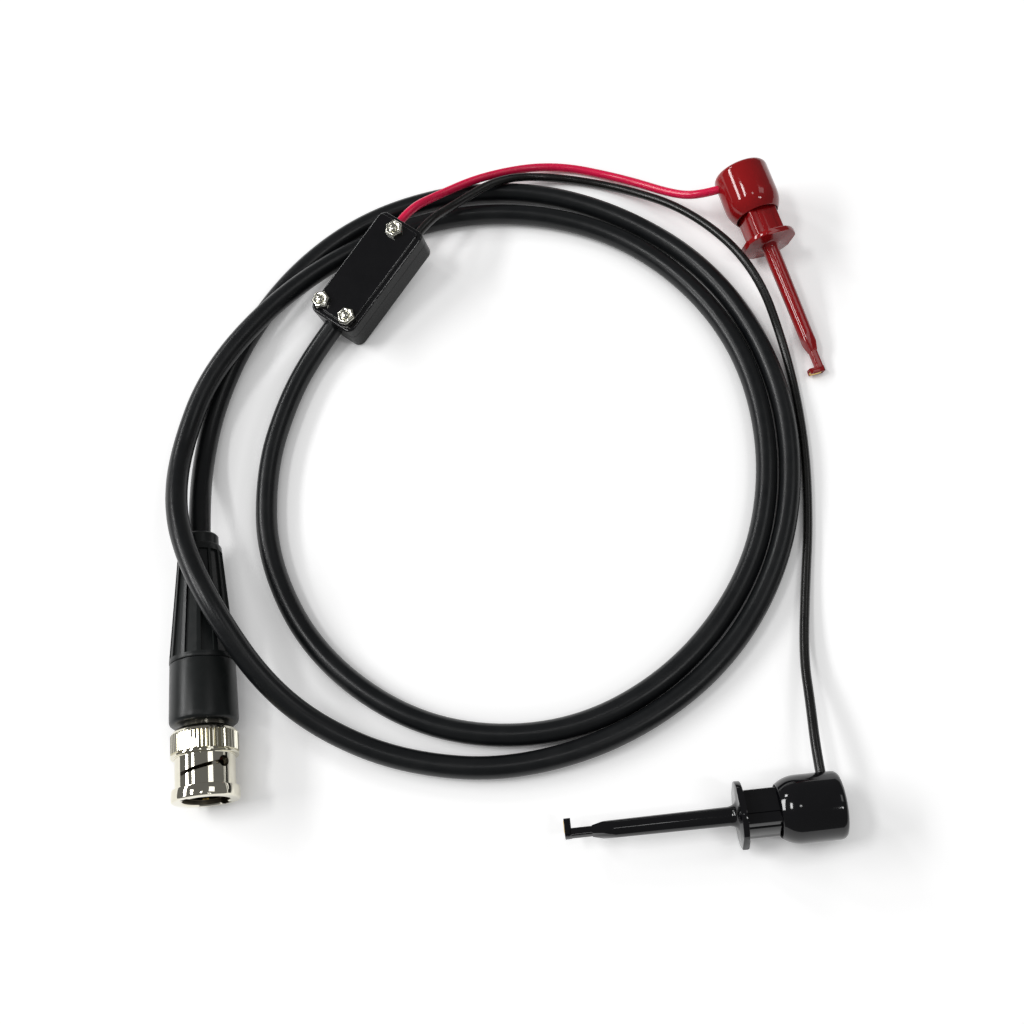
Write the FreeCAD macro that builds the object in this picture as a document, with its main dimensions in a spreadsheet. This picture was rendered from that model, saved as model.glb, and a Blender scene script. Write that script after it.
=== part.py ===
"""Test lead with a BNC plug, a junction box and two spring hook clips.

Frame: millimetres, Z up, the lead lies on the plane Z = 0.  The plug points
along -Y on the -X side, the coaxial cable makes two loops to the junction box,
and a red and a black lead run from the box to the two clips on the +X side.
Every rigid group is drawn along its own axis and then put in its place.
"""
import FreeCAD, Part
import math
import os
import re

import Sketcher
from FreeCAD import Placement, Rotation, Vector

SIZES = {
    # Plug: heights run backwards from the front face of the coupling nut.
    "nut_od": 14.3,
    "nut_length": 15.6,
    "nut_bore": 9.8,
    "nut_rear_hole": 8.8,
    "nut_shoulder": 12.4,
    "nut_barrel_od": 12.7,
    "nut_barrel_start": 2.6,
    "nut_barrel_end": 9.2,
    "nut_edge": 0.35,
    "nut_rear_round": 1.75,
    "knurl_start": 10.0,
    "knurl_end": 14.0,
    "knurl_depth": 0.5,
    "knurl_width": 0.76,
    "knurl_count": 50,
    "slot_width": 2.2,
    "slot_start": 5.2,
    "slot_rise": 2.0,
    "slot_sweep": 90,
    "slot_hole": 2.4,
    "slit_width": 0.8,
    "stud_depth": 0.95,
    "contact_od": 8.1,
    "contact_id": 6.7,
    "contact_start": 1.0,
    "contact_end": 7.95,
    "gasket_seat_od": 7.6,
    "flange_od": 9.6,
    "flange_start": 9.0,
    "flange_end": 10.5,
    "plug_rear_od": 8.6,
    "plug_rear_end": 17.5,
    "plug_rear_wall": 1.0,
    "crimp_stem_od": 4.4,
    "crimp_stem_end": 24.0,
    "dielectric_od": 2.9,
    "pin_tip": 2.6,
    "pin_od": 1.35,
    "pin_rear_od": 2.0,
    "pin_step": 7.95,
    "pin_end": 16.0,
    "pin_cup": 3.0,
    "insulator_start": 8.0,
    "insulator_end": 15.0,
    "gasket_thick": 0.95,
    "washer_thick": 0.35,
    "spring_sheet": 0.2,
    "ferrule_od": 6.5,
    "ferrule_start": 18.0,
    "ferrule_end": 28.0,
    "collar_start": 15.9,
    "collar_end": 29.7,
    "collar_front_od": 14.7,
    "collar_rear_od": 14.2,
    "sleeve_lip": 1.2,
    "sleeve_end": 57.3,
    "sleeve_rear_od": 9.6,
    "neck_end": 60.1,
    "neck_od": 8.4,
    "flute_count": 12,
    "flute_width": 2.7,
    "flute_depth": 0.5,
    "flute_start": 30.9,
    "flute_end": 55.6,
    "cable_in_neck": 4.0,
    "boot_edge": 0.3,
    # Cable and leads.
    "coax_od": 4.95,
    "lead_od": 2.1,
    "wire_od": 0.7,
    "sliding_gap": 0.05,
    "face_gap": 0.02,
    # Junction box: x along the box towards the leads, z up from its base.
    "box_length": 31.0,
    "box_width": 13.6,
    "box_height": 9.2,
    "box_parting": 5.4,
    "box_corner": 2.0,
    "box_wall": 1.5,
    "plate_raise": 0.5,
    "plate_edge": 1.3,
    "plate_trim": 0.4,
    "cover_chamfer": 0.4,
    "cavity_length": 18.8,
    "cable_rise": 4.0,
    "cable_channel": 5.3,
    "cable_grip": 2.0,
    "lead_channel": 2.24,
    "lead_grip": 1.5,
    "red_lead_y": 2.7,
    "black_lead_y": -3.4,
    "screw_x": 12.4,
    "screw_y": 4.1,
    "screw_shift": 0.65,
    "screw_od": 1.9,
    "screw_hole": 2.0,
    "screw_head_od": 3.5,
    "screw_head_thick": 0.9,
    "counterbore_od": 3.8,
    "counterbore_depth": 1.1,
    "screw_past_nut": 0.4,
    "nut_across": 4.0,
    "nut_thick": 1.3,
    "jacket_in_cavity": 0.9,
    "crimp_ring_od": 4.9,
    "crimp_ring_length": 2.5,
    "core_stub": 2.4,
    "splice_start": 3.0,
    "splice_od": 1.8,
    "splice_length": 5.0,
    "wire_run": 1.2,
    "wire_bend": 1.0,
    "braid_od": 1.2,
    "braid_run": 1.4,
    "braid_bend": 1.2,
    # Clip: heights run from the thumb end of the cap to the hook tip.
    "cap_od": 13.6,
    "cap_length": 13.6,
    "cap_dome": 5.0,
    "cap_mouth_od": 10.7,
    "cap_cavity_od": 10.4,
    "cap_cavity_floor": 7.4,
    "cap_end_round": 0.9,
    "cap_end_slope": 1.6,
    "terminal_od": 2.1,
    "terminal_hole": 2.2,
    "terminal_start": 2.4,
    "side_hole": 2.2,
    "side_hole_rise": 3.7,
    "shank_start": 12.0,
    "shank_width": 7.5,
    "shank_round": 0.6,
    "rib_span": 8.1,
    "rib_width": 3.4,
    "clip_flange_start": 20.5,
    "clip_flange_end": 21.8,
    "clip_flange_od": 13.6,
    "clip_flange_edge": 0.2,
    "nose_collar_od": 6.45,
    "nose_collar_length": 1.6,
    "nose_root_od": 3.85,
    "nose_tip_od": 3.55,
    "nose_end": 46.8,
    "taper_middle": 49.0,
    "taper_middle_od": 2.45,
    "taper_end": 51.3,
    "stem_od": 1.75,
    "foot_start": 55.5,
    "foot_end": 56.9,
    "foot_back": 0.88,
    "foot_reach": 3.0,
    "spring_bore": 4.2,
    "spring_bore_end": 18.6,
    "spring_od": 3.8,
    "spring_wire": 0.45,
    "spring_turns": 7,
    "hook_wire": 0.76,
    "hook_bore": 1.0,
    "hook_start": 3.0,
    "hook_leg": 2.9,
    "hook_bend": 0.5,
    "hook_groove": 0.9,
    "hook_proud": 0.12,
    # Places of the groups on the table.
    "plug_x": -63.461,
    "plug_y": -72.684,
    "plug_rise": 7.35,
    "plug_turn": 7.3,
    "plug_roll": 55,
    "box_x": -33.91,
    "box_y": 56.11,
    "box_turn": 52.8,
    "box_pitch": 10.6,
    "red_x": 57.92,
    "red_y": 81.31,
    "red_rise": 10.21,
    "red_turn": 287.3,
    "red_pitch": 9.3,
    "red_roll": -10,
    "black_x": 68.15,
    "black_y": -74.57,
    "black_rise": 6.88,
    "black_turn": 185.4,
    "black_pitch": 0.2,
    "black_roll": 18,
}

# Routes of the cable and the leads: corners of straight runs, box end first.
COAX_ROUTE = [
    (-42.9, 45.35, 4.3),
    (-48.75, 37.71, 2.5),
    (-54.45, 24.61, 2.5),
    (-58.45, 6.11, 2.5),
    (-56.45, -17.39, 2.5),
    (-42.95, -41.39, 2.5),
    (-17.95, -57.89, 2.5),
    (11.55, -59.39, 2.5),
    (36.55, -46.39, 2.5),
    (54.05, -23.89, 2.5),
    (60.55, 2.11, 2.5),
    (58.05, 29.11, 2.5),
    (47.05, 51.11, 2.5),
    (29.05, 68.11, 2.5),
    (7.05, 76.61, 2.5),
    (-16.45, 77.11, 2.5),
    (-39.95, 68.61, 2.5),
    (-57.95, 49.61, 8.5),
    (-72.95, 29.61, 8.0),
    (-77.95, 9.11, 7.5),
    (-75.95, -6.89, 12.5),
    (-70.95, -19.89, 16.0),
    (-62.95, -33.89, 16.0),
    (-52.95, -47.89, 9.5),
    (-40.45, -57.39, 5.0),
    (-22.45, -64.39, 2.5),
    (0.55, -66.39, 2.5),
    (26.05, -58.89, 2.5),
    (48.05, -42.39, 2.5),
    (62.05, -17.89, 2.5),
    (66.05, 10.61, 2.5),
    (61.05, 36.61, 2.5),
    (48.55, 58.61, 2.5),
    (29.55, 74.11, 2.5),
    (8.05, 83.11, 2.5),
    (-14.45, 84.11, 2.5),
    (-36.95, 77.11, 2.5),
    (-54.45, 62.61, 2.5),
    (-66.45, 43.11, 2.5),
    (-72.45, 24.11, 2.5),
    (-73.95, 7.61, 3.0),
    (-71.8, -7.62, 7.35),
    (-70.59, -17.04, 7.35),
]
RED_ROUTE = [
    (-28.34, 67.91, 10.73),
    (-24.78, 72.61, 11.84),
    (-18.95, 79.11, 8.0),
    (-6.45, 87.11, 5.5),
    (11.05, 93.11, 1.1),
    (29.55, 87.4, 1.1),
    (42.55, 77.11, 6.5),
    (48.69, 74.61, 9.61),
    (53.95, 76.25, 9.61),
]
BLACK_ROUTE = [
    (-23.48, 64.22, 10.73),
    (-19.92, 68.92, 11.84),
    (-13.95, 76.61, 7.5),
    (-2.95, 84.61, 7.0),
    (9.05, 89.11, 1.5),
    (27.55, 85.0, 1.1),
    (45.6, 72.2, 7.0),
    (60.05, 53.11, 9.5),
    (67.05, 33.11, 1.1),
    (69.05, 10.61, 1.1),
    (68.05, -9.89, 1.1),
    (65.55, -27.39, 1.1),
    (63.55, -42.89, 2.5),
    (63.55, -53.39, 5.0),
    (63.4, -63.67, 6.87),
    (63.97, -69.64, 6.87),
]

ARC_SHARE = 0.45
ALIAS = re.compile(r"[a-z][a-z_]*")

doc = FreeCAD.newDocument("test_lead")
nodes = {}


def fill_sheet():
    """Put every driving size in the sheet, one labelled row each."""
    sheet = doc.addObject("Spreadsheet::Sheet", "sizes")
    for row, (alias, number) in enumerate(SIZES.items(), start=1):
        sheet.set(f"A{row}", alias)
        sheet.set(f"B{row}", str(number))
        sheet.setAlias(f"B{row}", alias)
    doc.recompute()
    return sheet


sizes = fill_sheet()


def value(expression):
    """Number that an expression of sheet aliases comes to."""
    return float(sizes.evalExpression(expression))


def linked(expression):
    """Expression with each alias pointing at the sheet."""
    def swap(match):
        word = match.group()
        return f"sizes.{word}" if word in SIZES else word
    return ALIAS.sub(swap, expression)


def bind(item, **properties):
    """Bind properties of an object to expressions of the sheet."""
    for name, expression in properties.items():
        item.setExpression(name, linked(expression))


# ---------------------------------------------------------------- sketches

def new_body(name):
    """Empty PartDesign body that becomes the node of this name."""
    body = doc.addObject("PartDesign::Body", name)
    body.Label = name
    nodes[name] = body
    return body


def new_sketch(body, plane, lift="0"):
    """Sketch on one of the body's own origin planes, lifted along its normal."""
    sketch = body.newObject("Sketcher::SketchObject", body.Name + "_sketch")
    origin = [part for part in body.Origin.OriginFeatures if part.Role == plane]
    sketch.AttachmentSupport = [(origin[0], "")]
    sketch.MapMode = "FlatFace"
    sketch.setExpression(".AttachmentOffset.Base.z", linked(lift))
    return sketch


def pin_point(sketch, line, end, across, up):
    """Tie one end of a line to its two coordinates."""
    for kind, axis, expression in (("DistanceX", -2, across), ("DistanceY", -1, up)):
        number = value(expression)
        if number == 0:
            sketch.addConstraint(Sketcher.Constraint("PointOnObject", line, end, axis))
            continue
        index = sketch.addConstraint(Sketcher.Constraint(kind, -1, 1, line, end, number))
        sketch.setExpression(f"Constraints[{index}]", linked(expression))


def polygon(sketch, corners):
    """Closed outline through corners given as pairs of expressions."""
    points = [Vector(value(across), value(up), 0) for across, up in corners]
    first = sketch.GeometryCount
    count = len(points)
    for index, point in enumerate(points):
        sketch.addGeometry(Part.LineSegment(point, points[(index + 1) % count]), False)
    for index, (across, up) in enumerate(corners):
        following = first + (index + 1) % count
        sketch.addConstraint(Sketcher.Constraint("Coincident", first + index, 2, following, 1))
        pin_point(sketch, first + index, 1, across, up)
    return sketch


def rectangle(sketch, left, bottom, right, top):
    """Upright rectangle between two corners."""
    return polygon(sketch, [(left, bottom), (right, bottom), (right, top), (left, top)])


def circle(sketch, across, up, diameter):
    """Circle placed by expressions for its centre and diameter."""
    centre = Vector(value(across), value(up), 0)
    shape = Part.Circle(centre, Vector(0, 0, 1), value(diameter) / 2)
    index = sketch.addGeometry(shape, False)
    pin_point(sketch, index, 3, across, up)
    rule = Sketcher.Constraint("Diameter", index, value(diameter))
    sketch.setExpression(f"Constraints[{sketch.addConstraint(rule)}]", linked(diameter))
    return sketch


# ---------------------------------------------------------------- features

def turn(body, outline, kind="Revolution"):
    """Revolve an outline of (radius, height) pairs about the body's Z axis."""
    sketch = polygon(new_sketch(body, "XZ_Plane"), outline)
    feature = body.newObject("PartDesign::" + kind, body.Name + "_turned")
    feature.Profile = sketch
    feature.ReferenceAxis = (sketch, ["V_Axis"])
    feature.Angle = 360
    return feature


def extrude(body, kind, sketch, length, both_ways=False, backwards=False):
    """Pad or pocket a sketch by a length given as an expression."""
    feature = body.newObject("PartDesign::" + kind, body.Name + "_" + kind.lower())
    feature.Profile = sketch
    feature.Midplane = both_ways
    feature.Reversed = backwards
    bind(feature, Length=length)
    return feature


def around(body, features, count):
    """Repeat features evenly about the body's Z axis."""
    pattern = body.newObject("PartDesign::PolarPattern", body.Name + "_pattern")
    axis = [part for part in body.Origin.OriginFeatures if part.Role == "Z_Axis"]
    pattern.Originals = features
    pattern.Axis = (axis[0], [""])
    pattern.Angle = 360
    bind(pattern, Occurrences=count)
    body.Tip = pattern
    return pattern


def upright_edges(shape):
    """Names of the straight edges that run along Z."""
    names = []
    for index, edge in enumerate(shape.Edges, start=1):
        if isinstance(edge.Curve, Part.Line) and abs(edge.Curve.Direction.z) > 0.999:
            names.append(f"Edge{index}")
    return names


def edges_at(shape, height):
    """Names of the edges that lie flat at one height."""
    names = []
    for index, edge in enumerate(shape.Edges, start=1):
        box = edge.BoundBox
        if abs(box.ZMin - height) < 1e-4 and abs(box.ZMax - height) < 1e-4:
            names.append(f"Edge{index}")
    return names


def dress(body, kind, base, edge_names, **properties):
    """Fillet or chamfer some edges of a feature."""
    feature = body.newObject("PartDesign::" + kind, body.Name + "_" + kind.lower())
    feature.Base = (base, edge_names)
    bind(feature, **properties)
    body.Tip = feature
    return feature


def turned(name, outline):
    """Node that is one body of revolution."""
    body = new_body(name)
    turn(body, outline)
    return body


def ring(name, bore, outside, start, end):
    """Node that is a plain ring between two heights."""
    inner, outer = f"({bore}) / 2", f"({outside}) / 2"
    return turned(name, [(inner, start), (outer, start), (outer, end), (inner, end)])


def rod(name, outside, start, end):
    """Node that is a plain round bar between two heights."""
    outer = f"({outside}) / 2"
    return turned(name, [("0", start), (outer, start), (outer, end), ("0", end)])


# ---------------------------------------------------------------- free shapes

def corner_arc(before, corner, after, radius):
    """Arc that rounds a corner, as its entry point, middle and exit point."""
    come = (corner - before).normalize()
    go = (after - corner).normalize()
    half_turn = come.getAngle(go) / 2
    setback = radius * math.tan(half_turn)
    inward = (go - come).normalize()
    middle = corner + inward * (radius / math.cos(half_turn) - radius)
    return corner - come * setback, middle, corner + go * setback


def widest_radius(before, corner, after):
    """Largest bend that the two runs beside a corner allow."""
    come, go = corner - before, after - corner
    setback = ARC_SHARE * min(come.Length, go.Length)
    return setback / math.tan(come.getAngle(go) / 2)


def bent_path(points, radius=None):
    """Wire of straight runs joined by tangent arcs, and the radii it used."""
    edges, radii, start = [], [], points[0]
    for before, corner, after in zip(points, points[1:], points[2:]):
        bend = radius or widest_radius(before, corner, after)
        enter, middle, leave = corner_arc(before, corner, after, bend)
        edges.append(Part.LineSegment(start, enter).toShape())
        edges.append(Part.Arc(enter, middle, leave).toShape())
        radii.append(bend)
        start = leave
    edges.append(Part.LineSegment(start, points[-1]).toShape())
    return Part.Wire(edges), radii


def tube(points, diameter, radius=None):
    """Round bar swept along a bent path."""
    path, radii = bent_path(points, radius)
    section = Part.Wire([Part.Circle(points[0], points[1] - points[0], diameter / 2).toShape()])
    solid = path.makePipeShell([section], True, False)
    expected = math.pi * diameter ** 2 / 4 * path.Length
    if abs(solid.Volume - expected) > 0.01 * expected:
        raise RuntimeError(f"tube volume {solid.Volume:.1f}, expected {expected:.1f}")
    return solid, path.Length, radii


def free_node(name, shape):
    """Node that holds a swept shape."""
    item = doc.addObject("Part::Feature", name)
    item.Label = name
    item.Shape = shape
    nodes[name] = item
    return item


def bent_node(name, points, diameter, radius=None):
    """Node that is a short bent wire or tube."""
    solid, _, _ = tube([Vector(*point) for point in points], diameter, radius)
    return free_node(name, solid)


def coil(radius, wire, turns, start, end):
    """Helical spring between two heights."""
    height = end - start - wire
    path = Part.makeHelix(height / turns, height, radius)
    section = Part.Wire([Part.Circle(Vector(radius, 0, 0), Vector(0, 1, 0), wire / 2).toShape()])
    solid = Part.Wire(path.Edges).makePipeShell([section], True, True)
    solid.translate(Vector(0, 0, start + wire / 2))
    return solid


# ---------------------------------------------------------------- plug

def coupling_nut():
    """Bayonet nut: knurled grip, thin barrel with two helical slits, front ring."""
    body = new_body("coupling_nut")
    turn(body, [
        ("nut_bore / 2", "0"),
        ("nut_od / 2 - nut_edge", "0"),
        ("nut_od / 2", "nut_edge"),
        ("nut_od / 2", "nut_barrel_start - nut_edge"),
        ("nut_od / 2 - nut_edge", "nut_barrel_start"),
        ("nut_barrel_od / 2", "nut_barrel_start"),
        ("nut_barrel_od / 2", "nut_barrel_end"),
        ("nut_od / 2 - nut_edge / 2", "nut_barrel_end"),
        ("nut_od / 2", "nut_barrel_end + nut_edge / 2"),
        ("nut_od / 2", "knurl_end"),
        ("nut_od / 2 - nut_rear_round / 5", "knurl_end + nut_rear_round / 3.5"),
        ("nut_od / 2 - 3 * nut_rear_round / 5", "nut_length - nut_rear_round / 4"),
        ("nut_od / 2 - nut_rear_round", "nut_length"),
        ("nut_rear_hole / 2", "nut_length"),
        ("nut_rear_hole / 2", "nut_shoulder"),
        ("nut_bore / 2", "nut_shoulder"),
    ])
    groove = new_sketch(body, "XY_Plane", "knurl_start")
    polygon(groove, [
        ("nut_od / 2 - knurl_depth", "0"),
        ("nut_od / 2 + sliding_gap", "-knurl_width / 2"),
        ("nut_od / 2 + sliding_gap", "knurl_width / 2"),
    ])
    cut = extrude(body, "Pocket", groove, "knurl_end - knurl_start", backwards=True)
    around(body, [cut], "knurl_count")
    channel = new_sketch(body, "XY_Plane")
    reach = "nut_bore / 2 + stud_depth"
    polygon(channel, [
        (f"-({reach})", "-slot_width / 2"),
        (reach, "-slot_width / 2"),
        (reach, "slot_width / 2"),
        (f"-({reach})", "slot_width / 2"),
    ])
    extrude(body, "Pocket", channel, "slot_start", backwards=True)
    hole = circle(new_sketch(body, "XZ_Plane"), "0", "slot_start + slot_rise", "slot_hole")
    extrude(body, "Pocket", hole, "2 * nut_od", both_ways=True)
    helical_slots(body)
    return body


def helical_slots(body):
    """Two stud grooves, each with a slit through the wall, that climb to the locking holes."""
    sketch = new_sketch(body, "XZ_Plane")
    inside, reach = "nut_bore / 2 - nut_edge", "nut_bore / 2 + stud_depth"
    outside = "nut_od / 2 + nut_edge"
    polygon(sketch, [
        (inside, "slot_start - slot_width / 2"),
        (reach, "slot_start - slot_width / 2"),
        (reach, "slot_start - slit_width / 2"),
        (outside, "slot_start - slit_width / 2"),
        (outside, "slot_start + slit_width / 2"),
        (reach, "slot_start + slit_width / 2"),
        (reach, "slot_start + slot_width / 2"),
        (inside, "slot_start + slot_width / 2"),
    ])
    slot = body.newObject("PartDesign::SubtractiveHelix", body.Name + "_slot")
    slot.Profile = sketch
    slot.ReferenceAxis = (sketch, ["V_Axis"])
    slot.Mode = 0
    bind(slot, Pitch="slot_rise * 360 / slot_sweep", Height="slot_rise")
    around(body, [slot], "2")


def connector_body():
    """Outer contact, gasket seat, flange that carries the nut, stem for the crimp."""
    return turned("connector_body", [
        ("contact_id / 2", "contact_start"),
        ("contact_od / 2", "contact_start"),
        ("contact_od / 2", "contact_end"),
        ("gasket_seat_od / 2", "contact_end"),
        ("gasket_seat_od / 2", "flange_start"),
        ("flange_od / 2", "flange_start"),
        ("flange_od / 2", "flange_end"),
        ("plug_rear_od / 2", "flange_end"),
        ("plug_rear_od / 2", "plug_rear_end"),
        ("crimp_stem_od / 2", "plug_rear_end"),
        ("crimp_stem_od / 2", "crimp_stem_end"),
        ("dielectric_od / 2 + sliding_gap", "crimp_stem_end"),
        ("dielectric_od / 2 + sliding_gap", "plug_rear_end - plug_rear_wall"),
        ("contact_id / 2", "plug_rear_end - plug_rear_wall"),
    ])


def center_pin():
    """Centre contact: round-nosed pin on a thicker solder barrel."""
    return turned("center_pin", [
        ("0", "pin_tip"),
        ("pin_od / 4", "pin_tip"),
        ("pin_od / 2", "pin_tip + pin_od / 3"),
        ("pin_od / 2", "pin_step"),
        ("pin_rear_od / 2", "pin_step"),
        ("pin_rear_od / 2", "pin_end"),
        ("wire_od / 2", "pin_end"),
        ("wire_od / 2", "pin_end - pin_cup"),
        ("0", "pin_end - pin_cup"),
    ])


def contact_insulator():
    """Bead that holds the pin in the middle of the outer contact."""
    clear = "2 * sliding_gap"
    return ring("contact_insulator", f"pin_rear_od + {clear}", f"contact_id - {clear}",
                "insulator_start", "insulator_end")


def plug_seals():
    """Sealing gasket, slip washer and spring washer around the connector body."""
    clear = "2 * sliding_gap"
    ring("seal_gasket", f"gasket_seat_od + {clear}", f"flange_od - {clear}",
         "flange_start - gasket_thick", "flange_start - sliding_gap")
    ring("slip_washer", f"plug_rear_od + {clear}", f"nut_bore - {clear}",
         "nut_shoulder - sliding_gap - washer_thick", "nut_shoulder - sliding_gap")
    dished_washer()


def dished_washer():
    """Spring washer that presses the nut forwards, a thin cone of sheet steel."""
    low, high = "flange_end + sliding_gap", "nut_shoulder - washer_thick - 2 * sliding_gap"
    inner, outer = "plug_rear_od / 2 + sliding_gap", "nut_bore / 2 - 2 * sliding_gap"
    return turned("spring_washer", [
        (inner, f"{high} - spring_sheet"),
        (outer, low),
        (outer, f"{low} + spring_sheet"),
        (inner, high),
    ])


def plug_cable():
    """Crimp ferrule and the cable end that it holds."""
    ring("crimp_ferrule", "coax_od + 2 * sliding_gap", "ferrule_od",
         "ferrule_start", "ferrule_end")
    rod("plug_cable_end", "coax_od", "crimp_stem_end + sliding_gap",
        "neck_end - cable_in_neck - face_gap")
    turned("plug_cable_core", [
        ("0", "pin_end + sliding_gap"),
        ("dielectric_od / 2", "pin_end + sliding_gap"),
        ("dielectric_od / 2", "crimp_stem_end"),
        ("0", "crimp_stem_end"),
    ])


def boot_collar():
    """Plain front part of the strain relief, around the crimp."""
    return turned("boot_collar", [
        ("plug_rear_od / 2 + sliding_gap", "collar_start"),
        ("collar_front_od / 2 - boot_edge", "collar_start"),
        ("collar_front_od / 2", "collar_start + boot_edge"),
        ("collar_rear_od / 2", "collar_end"),
        ("coax_od / 2 + sliding_gap", "collar_end"),
        ("coax_od / 2 + sliding_gap", "ferrule_end + sliding_gap"),
        ("ferrule_od / 2 + sliding_gap", "ferrule_end + sliding_gap"),
        ("ferrule_od / 2 + sliding_gap", "plug_rear_end + sliding_gap"),
        ("plug_rear_od / 2 + sliding_gap", "plug_rear_end + sliding_gap"),
    ])


def boot_sleeve():
    """Tapered rear part of the strain relief, with sunk panels between ribs."""
    body = new_body("boot_sleeve")
    start = "collar_end + face_gap"
    turn(body, [
        ("coax_od / 2 + sliding_gap", start),
        ("collar_rear_od / 2 - boot_edge", start),
        ("collar_rear_od / 2", f"{start} + boot_edge"),
        ("collar_rear_od / 2", "collar_end + sleeve_lip"),
        ("sleeve_rear_od / 2", "sleeve_end - boot_edge"),
        ("sleeve_rear_od / 2 - boot_edge", "sleeve_end"),
        ("neck_od / 2", "sleeve_end"),
        ("neck_od / 2", "neck_end - boot_edge"),
        ("neck_od / 2 - boot_edge", "neck_end"),
        ("coax_od / 2 + sliding_gap", "neck_end"),
    ])
    front = "collar_rear_od / 2 - flute_depth"
    rear = "sleeve_rear_od / 2 - flute_depth"
    panel = new_sketch(body, "XZ_Plane")
    polygon(panel, [
        (front, "flute_start"),
        ("collar_rear_od", "flute_start"),
        ("collar_rear_od", "flute_end"),
        (rear, "flute_end"),
    ])
    cut = extrude(body, "Pocket", panel, "flute_width", both_ways=True)
    around(body, [cut], "flute_count")
    return body


def plug():
    """Every piece of the BNC plug, drawn along its own axis."""
    coupling_nut()
    connector_body()
    center_pin()
    contact_insulator()
    plug_seals()
    plug_cable()
    boot_collar()
    boot_sleeve()


# ---------------------------------------------------------------- junction box

def box_outline(body, lift):
    """Rectangle of the box."""
    sketch = new_sketch(body, "XY_Plane", lift)
    return rectangle(sketch, "-box_length / 2", "-box_width / 2",
                     "box_length / 2", "box_width / 2")


def channels(body, cable_top):
    """Round channels for the coaxial cable and for the two leads."""
    cable = new_sketch(body, "YZ_Plane")
    circle(cable, "screw_shift", "cable_rise", "cable_channel")
    extrude(body, "Pocket", cable, "box_length", backwards=False)
    if cable_top:
        slot = new_sketch(body, "YZ_Plane")
        rectangle(slot, "screw_shift - cable_channel / 2", "cable_rise",
                  "screw_shift + cable_channel / 2", "box_parting + 1")
        extrude(body, "Pocket", slot, "box_length", backwards=False)
    for side in ("red_lead_y", "black_lead_y"):
        lead = circle(new_sketch(body, "YZ_Plane"), side, "box_parting", "lead_channel")
        extrude(body, "Pocket", lead, "box_length", backwards=True)


def screw_places():
    """Centres of the three screws, as pairs of expressions."""
    return [
        ("-screw_x", "screw_shift - screw_y"),
        ("-screw_x", "screw_shift + screw_y"),
        ("screw_x", "screw_shift / 2"),
    ]


def screw_holes(body, diameter, depth):
    """Holes for the screws, upwards from the foot of the box."""
    sketch = new_sketch(body, "XY_Plane")
    for across, up in screw_places():
        circle(sketch, across, up, diameter)
    extrude(body, "Pocket", sketch, depth, backwards=True)


def box_base():
    """Lower shell: cavity, cable channels, counterbored screw holes."""
    body = new_body("box_base")
    block = extrude(body, "Pad", box_outline(body, "0"), "box_parting")
    doc.recompute()
    block = dress(body, "Fillet", block, upright_edges(block.Shape), Radius="box_corner")
    cavity = new_sketch(body, "XY_Plane", "box_wall")
    rectangle(cavity, "-cavity_length / 2", "-box_width / 2 + box_wall",
              "cavity_length / 2", "box_width / 2 - box_wall")
    extrude(body, "Pocket", cavity, "box_height", backwards=True)
    channels(body, cable_top=True)
    screw_holes(body, "screw_hole", "box_height")
    screw_holes(body, "counterbore_od", "counterbore_depth")
    return body


def box_cover():
    """Upper shell with a raised plate that leaves a ledge along two edges."""
    body = new_body("box_cover")
    lid = extrude(body, "Pad", box_outline(body, "box_parting + face_gap"),
                  "box_height - plate_raise - box_parting - face_gap")
    doc.recompute()
    lid = dress(body, "Fillet", lid, upright_edges(lid.Shape), Radius="box_corner")
    doc.recompute()
    top = value("box_height - plate_raise")
    dress(body, "Chamfer", lid, edges_at(lid.Shape, top), Size="cover_chamfer")
    plate = new_sketch(body, "XY_Plane", "box_height - plate_raise")
    rectangle(plate, "-box_length / 2 + plate_edge", "-box_width / 2 + plate_edge",
              "box_length / 2 - box_corner / 2", "box_width / 2 - plate_trim")
    extrude(body, "Pad", plate, "plate_raise")
    cavity = new_sketch(body, "XY_Plane", "box_parting")
    rectangle(cavity, "-cavity_length / 2", "-box_width / 2 + box_wall",
              "cavity_length / 2", "box_width / 2 - box_wall")
    extrude(body, "Pocket", cavity, "box_height - box_wall - box_parting", backwards=True)
    channels(body, cable_top=False)
    screw_holes(body, "screw_hole", "2 * box_height")
    return body


def part_cylinder(name, diameter, length, place):
    """Part::Cylinder sized from the sheet; place is three expressions."""
    item = doc.addObject("Part::Cylinder", name)
    bind(item, Radius=f"({diameter}) / 2", Height=length)
    for axis, expression in zip("xyz", place):
        item.setExpression(f".Placement.Base.{axis}", linked(expression))
    return item


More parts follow.
